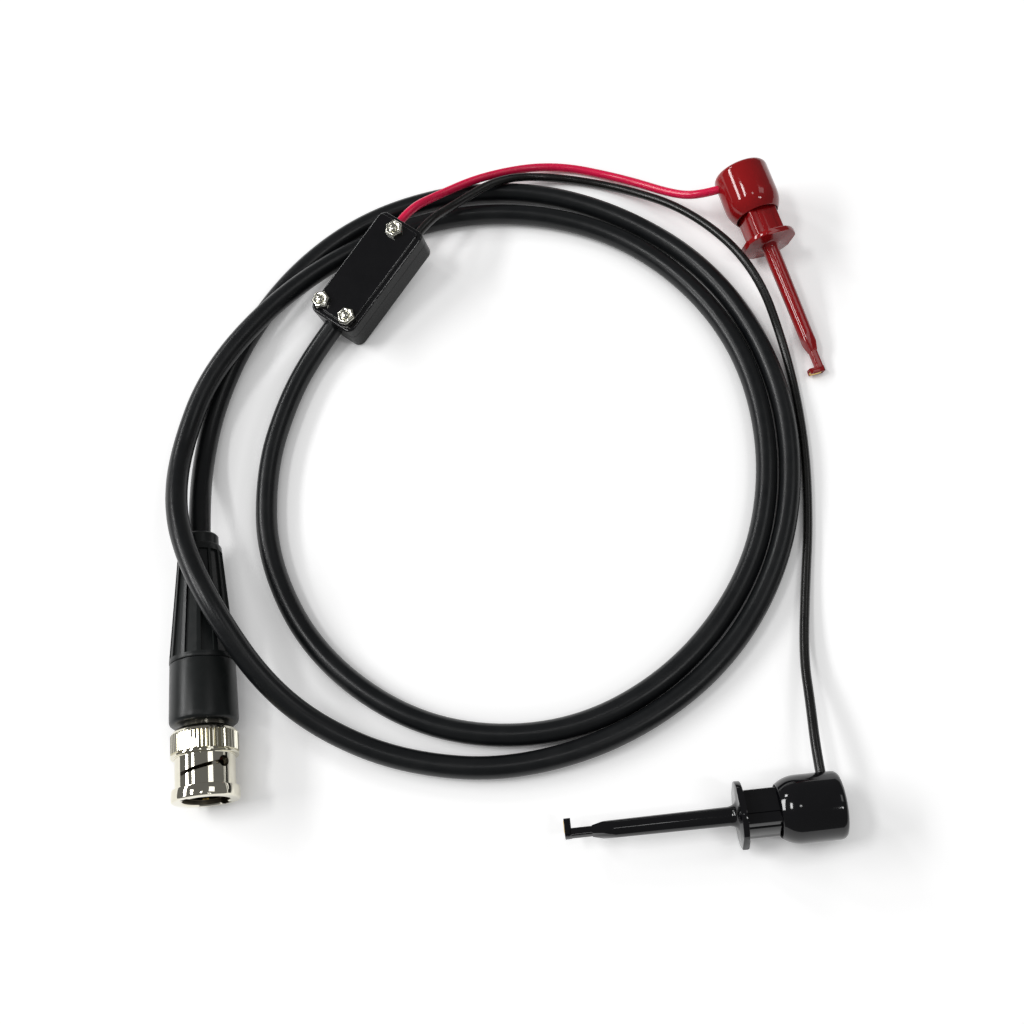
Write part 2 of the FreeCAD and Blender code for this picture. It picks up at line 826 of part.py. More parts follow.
def box_fasteners():
    """Three screws from below and the three nuts on top, one node for each kind."""
    screws, nuts = [], []
    stem = "box_height + nut_thick + screw_past_nut - counterbore_depth + screw_head_thick"
    for index, (across, up) in enumerate(screw_places()):
        foot = "counterbore_depth - screw_head_thick"
        head = part_cylinder(f"screw_head_{index}", "screw_head_od", "screw_head_thick",
                             (across, up, foot))
        shaft = part_cylinder(f"screw_shaft_{index}", "screw_od", stem, (across, up, foot))
        screw = doc.addObject("Part::Fuse", f"screw_{index}")
        screw.Base, screw.Tool = head, shaft
        screws.append(screw)
        prism = doc.addObject("Part::Prism", f"nut_prism_{index}")
        prism.Polygon = 6
        bind(prism, Circumradius="nut_across / sqrt(3)", Height="nut_thick")
        for axis, expression in zip("xyz", (across, up, "box_height + face_gap")):
            prism.setExpression(f".Placement.Base.{axis}", linked(expression))
        bore = part_cylinder(f"nut_bore_{index}", "screw_hole", "2 * nut_thick",
                             (across, up, "box_height - nut_thick / 2"))
        nut = doc.addObject("Part::Cut", f"nut_{index}")
        nut.Base, nut.Tool = prism, bore
        nuts.append(nut)
    for name, pieces in (("box_screws", screws), ("box_nuts", nuts)):
        group = doc.addObject("Part::Compound", name)
        group.Links = pieces
        group.Label = name
        nodes[name] = group


def along_x(name, diameter, start, end, across, rise):
    """Node that is a round bar along the box, between two stations."""
    item = part_cylinder(name + "_bar", diameter, f"({end}) - ({start})", (start, across, rise))
    item.Placement = Placement(item.Placement.Base, Rotation(Vector(0, 1, 0), 90))
    group = doc.addObject("Part::Compound", name)
    group.Links = [item]
    group.Label = name
    nodes[name] = group
    return group


def box_cable():
    """Cable end in the box: jacket, crimp ring and the stub of its core."""
    jacket_end = "-cavity_length / 2 + jacket_in_cavity"
    ring_start = f"{jacket_end} + sliding_gap"
    ring_end = f"{ring_start} + crimp_ring_length"
    core_start = f"{ring_end} + sliding_gap"
    along_x("box_cable_end", "coax_od", "-box_length / 2 + cable_grip + face_gap",
            jacket_end, "screw_shift", "cable_rise")
    along_x("cable_crimp_ring", "crimp_ring_od", ring_start, ring_end,
            "screw_shift", "cable_rise")
    along_x("box_cable_core", "dielectric_od", core_start, f"{core_start} + core_stub",
            "screw_shift", "cable_rise")
    return value(core_start)


def bend_to_splice(name, start, wire, side):
    """Wire that leaves the cable level and bends up to one of the splices."""
    station, across = start
    rise, parting = value("cable_rise"), value("box_parting")
    splice, run = value("splice_start - sliding_gap"), value(f"{wire}_run")
    bent_node(name, [
        (station, across, rise),
        (station + run, across, rise),
        (splice - run, value(side), parting),
        (splice, value(side), parting),
    ], value(f"{wire}_od"), value(f"{wire}_bend"))


def box_wiring():
    """What the box joins: cable end, bent wires, splices and lead ends."""
    core_start = box_cable()
    core_end = core_start + value("core_stub + sliding_gap")
    beside = value("screw_shift - dielectric_od / 2 - braid_od / 2 - 2 * sliding_gap")
    bend_to_splice("signal_wire", (core_end, value("screw_shift")), "wire", "red_lead_y")
    bend_to_splice("ground_braid", (core_start, beside), "braid", "black_lead_y")
    for colour, splice in (("red", "signal_splice"), ("black", "ground_splice")):
        side = f"{colour}_lead_y"
        splice_end = "splice_start + splice_length"
        along_x(splice, "splice_od", "splice_start", splice_end, side, "box_parting")
        along_x(f"{colour}_lead_root", "lead_od", f"{splice_end} + sliding_gap",
                "box_length / 2 - lead_grip - face_gap", side, "box_parting")


def junction_box():
    """Every piece of the box, drawn along X with its foot at height zero."""
    box_base()
    box_cover()
    box_fasteners()
    box_wiring()


# ---------------------------------------------------------------- clips

def clip_cap(colour):
    """Thumb cap: domed cup with a spring cavity, a blind bore and a wire hole."""
    body = new_body(f"{colour}_cap")
    drop = "(cap_od - cap_mouth_od) / 2"
    turn(body, [
        ("0", "0"),
        ("cap_od / 2 - cap_end_round", "0"),
        ("cap_od / 2 - 0.3 * cap_end_round", "0.3 * cap_end_round"),
        ("cap_od / 2", "cap_end_round"),
        ("cap_od / 2", "cap_length - cap_dome"),
        (f"cap_od / 2 - {drop} / 6", "cap_length - 0.64 * cap_dome"),
        (f"cap_od / 2 - {drop} / 2", "cap_length - 0.34 * cap_dome"),
        (f"cap_od / 2 - 5 * {drop} / 6", "cap_length - 0.06 * cap_dome"),
        ("cap_mouth_od / 2", "cap_length"),
        ("0", "cap_length"),
    ])
    turn(body, [
        ("0", "terminal_start"),
        ("terminal_hole / 2", "terminal_start"),
        ("terminal_hole / 2", "cap_cavity_floor"),
        ("cap_cavity_od / 2", "cap_cavity_floor"),
        ("cap_cavity_od / 2", "cap_length + 1"),
        ("0", "cap_length + 1"),
    ], "Groove")
    slope = new_sketch(body, "XZ_Plane")
    polygon(slope, [
        ("-cap_od", "-1 - cap_end_slope / 2"),
        ("cap_od", "-1"),
        ("cap_od", "3 * cap_end_slope / 2"),
        ("-cap_od", "-cap_end_slope / 2"),
    ])
    extrude(body, "Pocket", slope, "2 * cap_od", both_ways=True)
    wire_hole = circle(new_sketch(body, "YZ_Plane"), "0", "side_hole_rise", "side_hole")
    extrude(body, "Pocket", wire_hole, "cap_od", backwards=True)
    return body


def clip_barrel(colour):
    """Sliding barrel: ribbed shank, finger flange, long nose and hook foot."""
    body = new_body(f"{colour}_barrel")
    half = "shank_width / 2"
    square = new_sketch(body, "XY_Plane", "shank_start")
    rectangle(square, f"-{half}", f"-{half}", half, half)
    shank_length = "clip_flange_start + clip_flange_edge - shank_start"
    shank = extrude(body, "Pad", square, shank_length)
    doc.recompute()
    dress(body, "Fillet", shank, upright_edges(shank.Shape), Radius="shank_round")
    for long_side, short_side in (("rib_span / 2", "rib_width / 2"),
                                  ("rib_width / 2", "rib_span / 2")):
        rib = new_sketch(body, "XY_Plane", "shank_start")
        rectangle(rib, f"-{long_side}", f"-{short_side}", long_side, short_side)
        extrude(body, "Pad", rib, shank_length)
    turn(body, [
        ("0", "clip_flange_start"),
        ("clip_flange_od / 2 - clip_flange_edge", "clip_flange_start"),
        ("clip_flange_od / 2", "clip_flange_start + clip_flange_edge"),
        ("clip_flange_od / 2", "clip_flange_end - clip_flange_edge"),
        ("clip_flange_od / 2 - clip_flange_edge", "clip_flange_end"),
        ("nose_collar_od / 2", "clip_flange_end"),
        ("nose_root_od / 2 + 0.3 * (nose_collar_od - nose_root_od) / 2",
         "clip_flange_end + 0.3 * nose_collar_length"),
        ("nose_root_od / 2", "clip_flange_end + nose_collar_length"),
        ("nose_tip_od / 2", "nose_end"),
        ("taper_middle_od / 2", "taper_middle"),
        ("stem_od / 2", "taper_end"),
        ("stem_od / 2", "foot_start + clip_flange_edge"),
        ("0", "foot_start + clip_flange_edge"),
    ])
    foot = new_sketch(body, "XY_Plane", "foot_start")
    rectangle(foot, "-foot_back", "-stem_od / 2", "foot_reach", "stem_od / 2")
    extrude(body, "Pad", foot, "foot_end - foot_start")
    turn(body, [
        ("0", "shank_start - 1"),
        ("spring_bore / 2", "shank_start - 1"),
        ("spring_bore / 2", "spring_bore_end"),
        ("hook_bore / 2", "spring_bore_end"),
        ("hook_bore / 2", "foot_end + 1"),
        ("0", "foot_end + 1"),
    ], "Groove")
    groove = new_sketch(body, "XZ_Plane")
    rectangle(groove, "-hook_groove / 2", "foot_end - hook_groove",
              "foot_reach + 1", "foot_end + 1")
    extrude(body, "Pocket", groove, "hook_groove", both_ways=True)
    return body


def clip_hook(colour):
    """Sprung wire that runs through the clip and hooks over the foot."""
    level = value("foot_end + hook_proud - hook_wire / 2")
    bent_node(f"{colour}_hook", [
        (0, 0, value("hook_start")),
        (0, 0, level),
        (value("hook_leg"), 0, level),
    ], value("hook_wire"), value("hook_bend"))


def clip_wiring(colour):
    """Terminal that grips the hook, and the lead end that is fixed to it."""
    ring(f"{colour}_terminal", "hook_wire + sliding_gap", "terminal_od",
         "terminal_start + sliding_gap", "cap_cavity_floor - sliding_gap")
    rise = value("side_hole_rise")
    inner = value("terminal_od / 2 + 2 * sliding_gap")
    outer = value("cap_od / 2 - lead_grip - face_gap")
    bar = Part.makeCylinder(value("lead_od / 2"), outer - inner,
                            Vector(inner, 0, rise), Vector(1, 0, 0))
    free_node(f"{colour}_lead_end", bar)


def clip(colour):
    """Every piece of one clip, drawn along its own axis."""
    clip_cap(colour)
    clip_barrel(colour)
    clip_hook(colour)
    free_node(f"{colour}_spring", coil(
        value("(spring_od - spring_wire) / 2"),
        value("spring_wire"),
        value("spring_turns"),
        value("cap_cavity_floor + sliding_gap"),
        value("spring_bore_end - sliding_gap"),
    ))
    clip_wiring(colour)


# ---------------------------------------------------------------- places

PLUG_NODES = (
    "coupling_nut", "connector_body", "center_pin", "contact_insulator", "seal_gasket",
    "slip_washer", "spring_washer", "crimp_ferrule", "plug_cable_end", "plug_cable_core",
    "boot_collar", "boot_sleeve",
)
BOX_NODES = (
    "box_base", "box_cover", "box_screws", "box_nuts", "box_cable_end",
    "cable_crimp_ring", "box_cable_core", "signal_wire", "ground_braid", "signal_splice",
    "ground_splice", "red_lead_root", "black_lead_root",
)
CLIP_PIECES = ("cap", "barrel", "hook", "spring", "terminal", "lead_end")


def plug_place():
    """Plug axis level, backwards from the front face of the nut."""
    base = Vector(value("plug_x"), value("plug_y"), value("plug_rise"))
    heading = Rotation(Vector(0, 0, 1), value("plug_turn"))
    return Placement(base, heading * Rotation(Vector(1, 0, 0), -90))


def box_place():
    """Box pitched about its low edge, leads at the raised end."""
    pitch = value("box_pitch")
    rise = math.sin(math.radians(pitch)) * value("box_length") / 2
    base = Vector(value("box_x"), value("box_y"), rise)
    heading = Rotation(Vector(0, 0, 1), value("box_turn"))
    return Placement(base, heading * Rotation(Vector(0, 1, 0), -pitch))


def clip_place(colour):
    """Clip axis from the thumb end to the tip, with the foot level to one side."""
    base = Vector(value(f"{colour}_x"), value(f"{colour}_y"), value(f"{colour}_rise"))
    heading = math.radians(value(f"{colour}_turn"))
    pitch = math.radians(value(f"{colour}_pitch"))
    axis = Vector(math.cos(heading) * math.cos(pitch), math.sin(heading) * math.cos(pitch),
                  -math.sin(pitch))
    foot_side = axis.cross(Vector(0, 0, 1)).normalize()
    across = axis.cross(foot_side)
    return Placement(base, Rotation(foot_side, across, axis, "ZXY"))


def place(names, placement):
    """Move a group of nodes to its place."""
    for name in names:
        nodes[name].Placement = placement * nodes[name].Placement


def roll(name, alias):
    """Turn one placed node about its own axis."""
    about_axis = Placement(Vector(0, 0, 0), Rotation(Vector(0, 0, 1), value(alias)))
    nodes[name].Placement = nodes[name].Placement * about_axis


def place_everything():
    """Put the plug, the box and both clips on the table."""
    place(PLUG_NODES, plug_place())
    roll("coupling_nut", "plug_roll")
    place(BOX_NODES, box_place())
    for colour in ("red", "black"):
        place([f"{colour}_{piece}" for piece in CLIP_PIECES], clip_place(colour))
        roll(f"{colour}_barrel", f"{colour}_roll")
        roll(f"{colour}_hook", f"{colour}_roll")


# ---------------------------------------------------------------- cords

def cord(name, points, diameter):
    """Node for a cable or lead along its route, with its length and bends printed."""
    solid, length, radii = tube(points, diameter)
    free_node(name, solid)
    listed = ", ".join(f"{radius:.0f}" for radius in radii)
    print(f"{name}: {length:.0f} mm long, radii {listed}")


def cords():
    """Coaxial cable from box to plug, and a lead from the box to each clip."""
    routes = (
        ("coax_cable", COAX_ROUTE, "coax_od"),
        ("red_lead", RED_ROUTE, "lead_od"),
        ("black_lead", BLACK_ROUTE, "lead_od"),
    )
    for name, route, diameter in routes:
        cord(name, [Vector(*point) for point in route], value(diameter))


# ---------------------------------------------------------------- checks and files

def check():
    """Stop if any object failed or any node is not a valid solid."""
    for item in doc.Objects:
        if any(word in state for state in item.State for word in ("Invalid", "Error")):
            raise RuntimeError(f"{item.Name} failed: {item.State}")
    for name, item in nodes.items():
        shape = item.Shape
        if shape.isNull() or not shape.isValid() or not shape.Solids:
            raise RuntimeError(f"{name} has no valid solid")


def main():
    """Build, check and write every node."""
    plug()
    junction_box()
    clip("red")
    clip("black")
    doc.recompute()
    place_everything()
    cords()
    doc.recompute()
    check()
    os.makedirs("parts", exist_ok=True)
    for name, item in nodes.items():
        item.Shape.exportStep(f"parts/{name}.step")
        box = item.Shape.BoundBox
        print(f"{name}: {item.Shape.Volume:.1f} mm3, {box.XMin:.1f}..{box.XMax:.1f}, "
              f"{box.YMin:.1f}..{box.YMax:.1f}, {box.ZMin:.2f}..{box.ZMax:.2f}")


main()
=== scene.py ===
"""Looks of a coaxial test lead with a bayonet plug, a junction box and two hook clips.

Every group of pieces is drawn in millimetres along its own axis and is then put
in its seat on the table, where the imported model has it.
"""
import logging
import math
from dataclasses import dataclass, field
from enum import Enum
from typing import Callable, Iterable, Sequence

import bmesh
import bpy
from mathutils import Matrix, Vector


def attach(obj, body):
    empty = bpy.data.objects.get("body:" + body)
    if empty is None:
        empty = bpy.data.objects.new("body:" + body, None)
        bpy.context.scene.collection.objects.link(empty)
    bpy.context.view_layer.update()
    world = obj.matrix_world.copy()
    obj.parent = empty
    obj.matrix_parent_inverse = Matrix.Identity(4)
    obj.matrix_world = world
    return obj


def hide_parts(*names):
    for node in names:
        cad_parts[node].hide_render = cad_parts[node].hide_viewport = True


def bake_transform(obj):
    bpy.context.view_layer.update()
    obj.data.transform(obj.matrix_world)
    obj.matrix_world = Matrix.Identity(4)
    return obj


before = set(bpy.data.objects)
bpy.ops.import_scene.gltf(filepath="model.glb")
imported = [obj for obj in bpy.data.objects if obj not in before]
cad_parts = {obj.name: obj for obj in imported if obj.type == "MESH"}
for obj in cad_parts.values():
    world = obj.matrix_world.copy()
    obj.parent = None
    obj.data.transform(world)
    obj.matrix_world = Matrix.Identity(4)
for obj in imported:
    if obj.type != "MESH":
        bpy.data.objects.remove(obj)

LOG = logging.getLogger("test_lead")
MM = 0.001
Point = tuple[float, float, float]
Profile = Sequence[tuple[float, float]]


# ---------------------------------------------------------------- seats

@dataclass(frozen=True)
class Seat:
    """Place of a group: its origin in millimetres and two of its local axes."""

    origin: Point
    across: Point
    along: Point

    def matrix(self) -> Matrix:
        """Matrix from local millimetres to the frame's metres."""
        along = Vector(self.along).normalized()
        across = Vector(self.across)
        across = (across - along * across.dot(along)).normalized()
        side = along.cross(across)
        turn = Matrix((across, side, along)).transposed().to_4x4()
        return Matrix.Translation(Vector(self.origin) * MM) @ turn @ Matrix.Scale(MM, 4)

    def rolled(self, degrees: float) -> "Seat":
        """The same seat turned about its own local Z."""
        turn = Matrix.Rotation(math.radians(degrees), 3, Vector(self.along))
        return Seat(self.origin, tuple(turn @ Vector(self.across)), self.along)


def plug_seat() -> Seat:
    """Seat of the plug, its local Z pointing from the mouth to the cable."""
    turn = math.radians(7.3)
    return Seat((-63.461, -72.684, 7.35),
                (math.cos(turn), math.sin(turn), 0.0),
                (-math.sin(turn), math.cos(turn), 0.0))


def box_seat() -> Seat:
    """Seat of the junction box, its local X towards the leads."""
    turn, pitch = math.radians(52.8), math.radians(10.6)
    lift = math.sin(pitch) * 31.0 / 2
    return Seat((-33.91, 56.11, lift),
                (math.cos(turn) * math.cos(pitch), math.sin(turn) * math.cos(pitch),
                 math.sin(pitch)),
                (-math.cos(turn) * math.sin(pitch), -math.sin(turn) * math.sin(pitch),
                 math.cos(pitch)))


def clip_seat(origin: Point, turn_deg: float, pitch_deg: float) -> Seat:
    """Seat of a clip, its local Z from the thumb end to the tip.

    Args:
        origin: centre of the thumb end, in millimetres.
        turn_deg: heading of the tip about the vertical.
        pitch_deg: how far the tip dips below level.

    Returns:
        The seat, whose local X points to the foot's side.
    """
    turn, pitch = math.radians(turn_deg), math.radians(pitch_deg)
    along = Vector((math.cos(turn) * math.cos(pitch), math.sin(turn) * math.cos(pitch),
                    -math.sin(pitch)))
    return Seat(origin, tuple(along.cross(Vector((0, 0, 1)))), tuple(along))


# ---------------------------------------------------------------- mesh helpers

class Shade(Enum):
    """How a finished mesh is shaded."""

    SMOOTH = 180.0
    CREASED = 32.0


def spun(profile: Profile, steps: int, closed: bool = False) -> bmesh.types.BMesh:
    """Body of revolution about local Z.

    Args:
        profile: pairs of radius and height.
        steps: faces around the axis.
        closed: whether the profile's last point joins its first.

    Returns:
        A new mesh with its doubles merged and its faces outwards.
    """
    bm = bmesh.new()
    verts = [bm.verts.new((radius, 0.0, height)) for radius, height in profile]
    pairs = list(zip(verts, verts[1:]))
    if closed:
        pairs.append((verts[-1], verts[0]))
    edges = [bm.edges.new(pair) for pair in pairs]
    bmesh.ops.spin(bm, geom=verts + edges, cent=(0, 0, 0), axis=(0, 0, 1),
                   angle=2 * math.pi, steps=steps, use_merge=True)
    bmesh.ops.remove_doubles(bm, verts=bm.verts, dist=1e-4)
    bmesh.ops.recalc_face_normals(bm, faces=bm.faces)
    return bm


def block(low: Point, high: Point) -> bmesh.types.BMesh:
    """Box between two corners."""
    bm = bmesh.new()
    size = [b - a for a, b in zip(low, high)]
    middle = [(a + b) / 2 for a, b in zip(low, high)]
    bmesh.ops.create_cube(bm, size=1.0)
    bmesh.ops.scale(bm, vec=size, verts=bm.verts)
    bmesh.ops.translate(bm, vec=middle, verts=bm.verts)
    return bm


def round_edges(bm: bmesh.types.BMesh, width: float, segments: int = 3,
                pick: Callable[[bmesh.types.BMEdge], bool] | None = None,
                angle: float = 25.0) -> None:
    """Round the edges of a mesh.

    Args:
        bm: the mesh.
        width: how far each rounding reaches from its edge.
        segments: faces across a rounding.
        pick: which edges to round; all edges sharper than the angle if left out.
        angle: least angle between faces, in degrees.
    """
    limit = math.radians(angle)
    edges = [edge for edge in bm.edges if len(edge.link_faces) == 2
             and edge.calc_face_angle(0.0) > limit and (pick is None or pick(edge))]
    bmesh.ops.bevel(bm, geom=edges, offset=width, offset_type="OFFSET", segments=segments,
                    profile=0.5, affect="EDGES", clamp_overlap=True, material=-1)


def upright(edge: bmesh.types.BMEdge) -> bool:
    """Whether an edge runs along local Z."""
    run = edge.verts[0].co - edge.verts[1].co
    return abs(run.z) > 0.99 * run.length


def joined(parts: Iterable[bmesh.types.BMesh]) -> bmesh.types.BMesh:
    """One mesh that holds several."""
    whole = bmesh.new()
    for part in parts:
        mesh = bpy.data.meshes.new("part")
        part.to_mesh(mesh)
        part.free()
        whole.from_mesh(mesh)
        bpy.data.meshes.remove(mesh)
    return whole


def finished(name: str, bm: bmesh.types.BMesh, seat: Seat, material: bpy.types.Material,
             shade: Shade = Shade.CREASED, second: bpy.types.Material | None = None,
             pick: Callable[[bmesh.types.BMFace], bool] = lambda face: face.normal.z > 0.3,
             ) -> bpy.types.Object:
    """Object of a mesh drawn in local millimetres, put in its seat.

    Args:
        name: name of the piece.
        bm: the mesh, which is freed.
        seat: where its group is.
        material: its material.
        shade: how its edges are shaded.
        second: material of the picked faces, if they have their own.
        pick: which faces those are; the ones that look up along local Z if left out.

    Returns:
        The new object, at the origin with its place in its mesh.
    """
    limit = math.radians(shade.value)
    for face in bm.faces:
        face.smooth = True
    for edge in bm.edges:
        edge.smooth = len(edge.link_faces) != 2 or edge.calc_face_angle(0.0) < limit
    if second is not None:
        bm.normal_update()
        for face in bm.faces:
            face.material_index = int(pick(face))
    bmesh.ops.transform(bm, matrix=seat.matrix(), verts=bm.verts)
    mesh = bpy.data.meshes.new(name)
    bm.to_mesh(mesh)
    bm.free()
    for finish in filter(None, (material, second)):
        mesh.materials.append(finish)
    piece = bpy.data.objects.new(name, mesh)
    bpy.context.scene.collection.objects.link(piece)
    return piece


def carve(piece: bpy.types.Object, cutters: Sequence[bpy.types.Object]) -> None:
    """Cut shapes out of a piece and drop the cutters."""
    for cutter in cutters:
        cut = piece.modifiers.new("cut", "BOOLEAN")
        cut.operation, cut.solver, cut.object = "DIFFERENCE", "MANIFOLD", cutter
        cut.material_mode = "TRANSFER"
    bpy.context.view_layer.update()
    shaped = piece.evaluated_get(bpy.context.evaluated_depsgraph_get())
    mesh = bpy.data.meshes.new_from_object(shaped)
    piece.modifiers.clear()
    old, piece.data = piece.data, mesh
    bpy.data.meshes.remove(old)
    mesh.name = piece.name
    for cutter in cutters:
        bpy.data.objects.remove(cutter)


def weighed(piece: bpy.types.Object) -> bpy.types.Object:
    """Keep the flat faces of a piece flat beside its rounded edges."""
    flats = piece.modifiers.new("flat_faces", "WEIGHTED_NORMAL")
    flats.keep_sharp = True
    return piece


def placed(piece: bpy.types.Object, body: str, *nodes: str) -> bpy.types.Object:
    """Let a piece ride on a body in place of CAD nodes."""
    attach(piece, body)
    if nodes:
        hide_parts(*nodes)
    LOG.info("%s rides on %s for %s", piece.name, body, ", ".join(nodes) or "itself")
    return piece


# ---------------------------------------------------------------- finishes

class Recipe:
    """A material's node tree, with short calls for the nodes it needs."""

    def __init__(self, name: str) -> None:
        """Start a node material with one Principled shader."""
        self.material = bpy.data.materials.new(name)
        self.material.use_nodes = True
        self.tree = self.material.node_tree
        self.shader = self.tree.nodes["Principled BSDF"]
        self.place = self.node("ShaderNodeTexCoord").outputs["Object"]

    def node(self, kind: str, **settings: object) -> bpy.types.Node:
        """New node with some of its settings."""
        made = self.tree.nodes.new(kind)
        for key, setting in settings.items():
            setattr(made, key, setting)
        return made

    def link(self, source: bpy.types.NodeSocket, target: bpy.types.NodeSocket) -> None:
        """Join two sockets."""
        self.tree.links.new(source, target)

    def noise(self, scale: float, detail: float = 3.0, rough: float = 0.55,
              source: bpy.types.NodeSocket | None = None) -> bpy.types.NodeSocket:
        """Noise over the object, in cells per metre."""
        made = self.node("ShaderNodeTexNoise")
        made.inputs["Scale"].default_value = scale
        made.inputs["Detail"].default_value = detail
        made.inputs["Roughness"].default_value = rough
        self.link(source or self.place, made.inputs["Vector"])
        return made.outputs["Fac"]

    def ranged(self, value: bpy.types.NodeSocket, low: float, high: float,
               start: float = 0.3, end: float = 0.7) -> bpy.types.NodeSocket:
        """Value mapped from one range to another, clamped."""
        made = self.node("ShaderNodeMapRange")
        for key, number in (("From Min", start), ("From Max", end),
                            ("To Min", low), ("To Max", high)):
            made.inputs[key].default_value = number
        self.link(value, made.inputs["Value"])
        return made.outputs["Result"]

    def blended(self, value: bpy.types.NodeSocket, first: Point,
                second: Point) -> bpy.types.NodeSocket:
        """Colour between two colours by a value."""
        made = self.node("ShaderNodeMix", data_type="RGBA")
        made.inputs["A"].default_value = (*first, 1.0)
        made.inputs["B"].default_value = (*second, 1.0)
        sockets = [s for s in made.inputs if s.name in ("A", "B") and s.type == "RGBA"]
        sockets[0].default_value = (*first, 1.0)
        sockets[1].default_value = (*second, 1.0)
        self.link(value, made.inputs["Factor"])
        return next(s for s in made.outputs if s.type == "RGBA")

    def bumped(self, value: bpy.types.NodeSocket, height_mm: float,
               strength: float = 1.0) -> None:
        """Bump of the surface by a value."""
        made = self.node("ShaderNodeBump")
        made.inputs["Strength"].default_value = strength
        made.inputs["Distance"].default_value = height_mm * MM
        self.link(value, made.inputs["Height"])
        self.link(made.outputs["Normal"], self.shader.inputs["Normal"])

    def set(self, **sockets: object) -> None:
        """Set sockets of the shader, their spaces written as underscores."""
        for key, setting in sockets.items():
            self.shader.inputs[key.replace("_", " ")].default_value = setting


@dataclass(frozen=True)
class Plastic:
    """Moulded plastic or rubber with a slightly uneven skin."""

    name: str
    base: Point
    tone: Point
    rough: tuple[float, float]
    specular: float = 0.5
    coat: float = 0.0
    coat_rough: float = 0.05
    grain: float = 3000.0
    grain_mm: float = 0.01
    cloud: float = 120.0

    def made(self) -> bpy.types.Material:
        """The material."""
        recipe = Recipe(self.name)
        cloud = recipe.noise(self.cloud)
        colour = recipe.blended(recipe.ranged(cloud, 0.0, 1.0), self.base, self.tone)
        recipe.link(colour, recipe.shader.inputs["Base Color"])
        worn = recipe.noise(self.cloud * 4.0, 4.0, 0.6)
        recipe.link(recipe.ranged(worn, *self.rough), recipe.shader.inputs["Roughness"])
        recipe.bumped(recipe.noise(self.grain, 2.0), self.grain_mm)
        recipe.set(Specular_IOR_Level=self.specular, Coat_Weight=self.coat,
                   Coat_Roughness=self.coat_rough)
        return recipe.material


@dataclass(frozen=True)
class Metal:
    """Plated or bare metal with faint marks."""

    name: str
    base: Point
    tone: Point
    rough: tuple[float, float]
    marks: float = 900.0
    marks_mm: float = 0.002

    def made(self) -> bpy.types.Material:
        """The material."""
        recipe = Recipe(self.name)
        cloud = recipe.noise(260.0, 4.0)
        colour = recipe.blended(recipe.ranged(cloud, 0.0, 1.0), self.base, self.tone)
        recipe.link(colour, recipe.shader.inputs["Base Color"])
        recipe.link(recipe.ranged(recipe.noise(self.marks, 4.0, 0.65), *self.rough),
                    recipe.shader.inputs["Roughness"])
        recipe.bumped(recipe.noise(self.marks, 2.0), self.marks_mm)
        recipe.set(Metallic=1.0)
        return recipe.material


class Finish(Enum):
    """Every finish of the test lead."""

    NICKEL = Metal("bright_nickel", (0.80, 0.77, 0.66), (0.73, 0.70, 0.58), (0.03, 0.07))
    # Rough like unpolished metal, and darkened as painted shade for the nut's bore and cut walls.
    DULL_NICKEL = Metal("unpolished_nickel", (0.22, 0.20, 0.16), (0.15, 0.13, 0.10), (0.35, 0.5))
    SCREW = Metal("nut_nickel", (0.80, 0.79, 0.70), (0.72, 0.71, 0.62), (0.10, 0.18))
    GOLD = Metal("hook_gold", (0.90, 0.66, 0.25), (0.80, 0.55, 0.18), (0.12, 0.25))
    STEEL = Metal("spring_steel", (0.55, 0.55, 0.54), (0.45, 0.45, 0.44), (0.2, 0.35))
    COPPER = Metal("tinned_copper", (0.72, 0.50, 0.38), (0.62, 0.40, 0.28), (0.25, 0.4))
    PTFE = Plastic("white_insulator", (0.85, 0.85, 0.81), (0.80, 0.80, 0.76), (0.35, 0.5))
    GASKET = Plastic("brown_gasket", (0.16, 0.05, 0.03), (0.10, 0.03, 0.02), (0.4, 0.6))
    CABLE = Plastic("cable_jacket", (0.006, 0.007, 0.008), (0.011, 0.012, 0.013),
                    (0.28, 0.36), specular=0.35, grain=1800.0, grain_mm=0.008, cloud=90.0)
    BOOT = Plastic("boot_rubber", (0.010, 0.012, 0.012), (0.015, 0.017, 0.017),
                   (0.30, 0.38), specular=0.3, grain=2600.0, grain_mm=0.006)
    COVER = Plastic("cover_plastic", (0.004, 0.004, 0.005), (0.006, 0.006, 0.007),
                    (0.08, 0.11), specular=0.5, grain=900.0, grain_mm=0.001, cloud=200.0)
    CASE = Plastic("case_plastic", (0.006, 0.007, 0.007), (0.011, 0.012, 0.012),
                   (0.24, 0.36), specular=0.2, grain=900.0, grain_mm=0.012, cloud=400.0)
    RED = Plastic("red_clip_plastic", (0.36, 0.008, 0.010), (0.30, 0.006, 0.008),
                  (0.06, 0.10), specular=0.5, grain=500.0, grain_mm=0.002)
    BLACK = Plastic("black_clip_plastic", (0.003, 0.003, 0.004), (0.005, 0.005, 0.006),
                    (0.06, 0.10), specular=0.5, grain=500.0, grain_mm=0.002)
    RED_LEAD = Plastic("red_lead_jacket", (0.92, 0.012, 0.09), (0.84, 0.010, 0.075),
                       (0.22, 0.30), specular=0.5, grain=1500.0, grain_mm=0.004)
    BLACK_LEAD = Plastic("black_lead_jacket", (0.006, 0.006, 0.006), (0.011, 0.011, 0.010),
                         (0.24, 0.32), specular=0.45, grain=1500.0, grain_mm=0.004)


class Finishes:
    """Materials of the finishes, each made once."""

    def __init__(self) -> None:
        """Start with none made."""
        self.made: dict[Finish, bpy.types.Material] = {}

    def of(self, finish: Finish) -> bpy.types.Material:
        """Material of a finish."""
        if finish not in self.made:
            self.made[finish] = finish.value.made()
        return self.made[finish]


# ---------------------------------------------------------------- plug

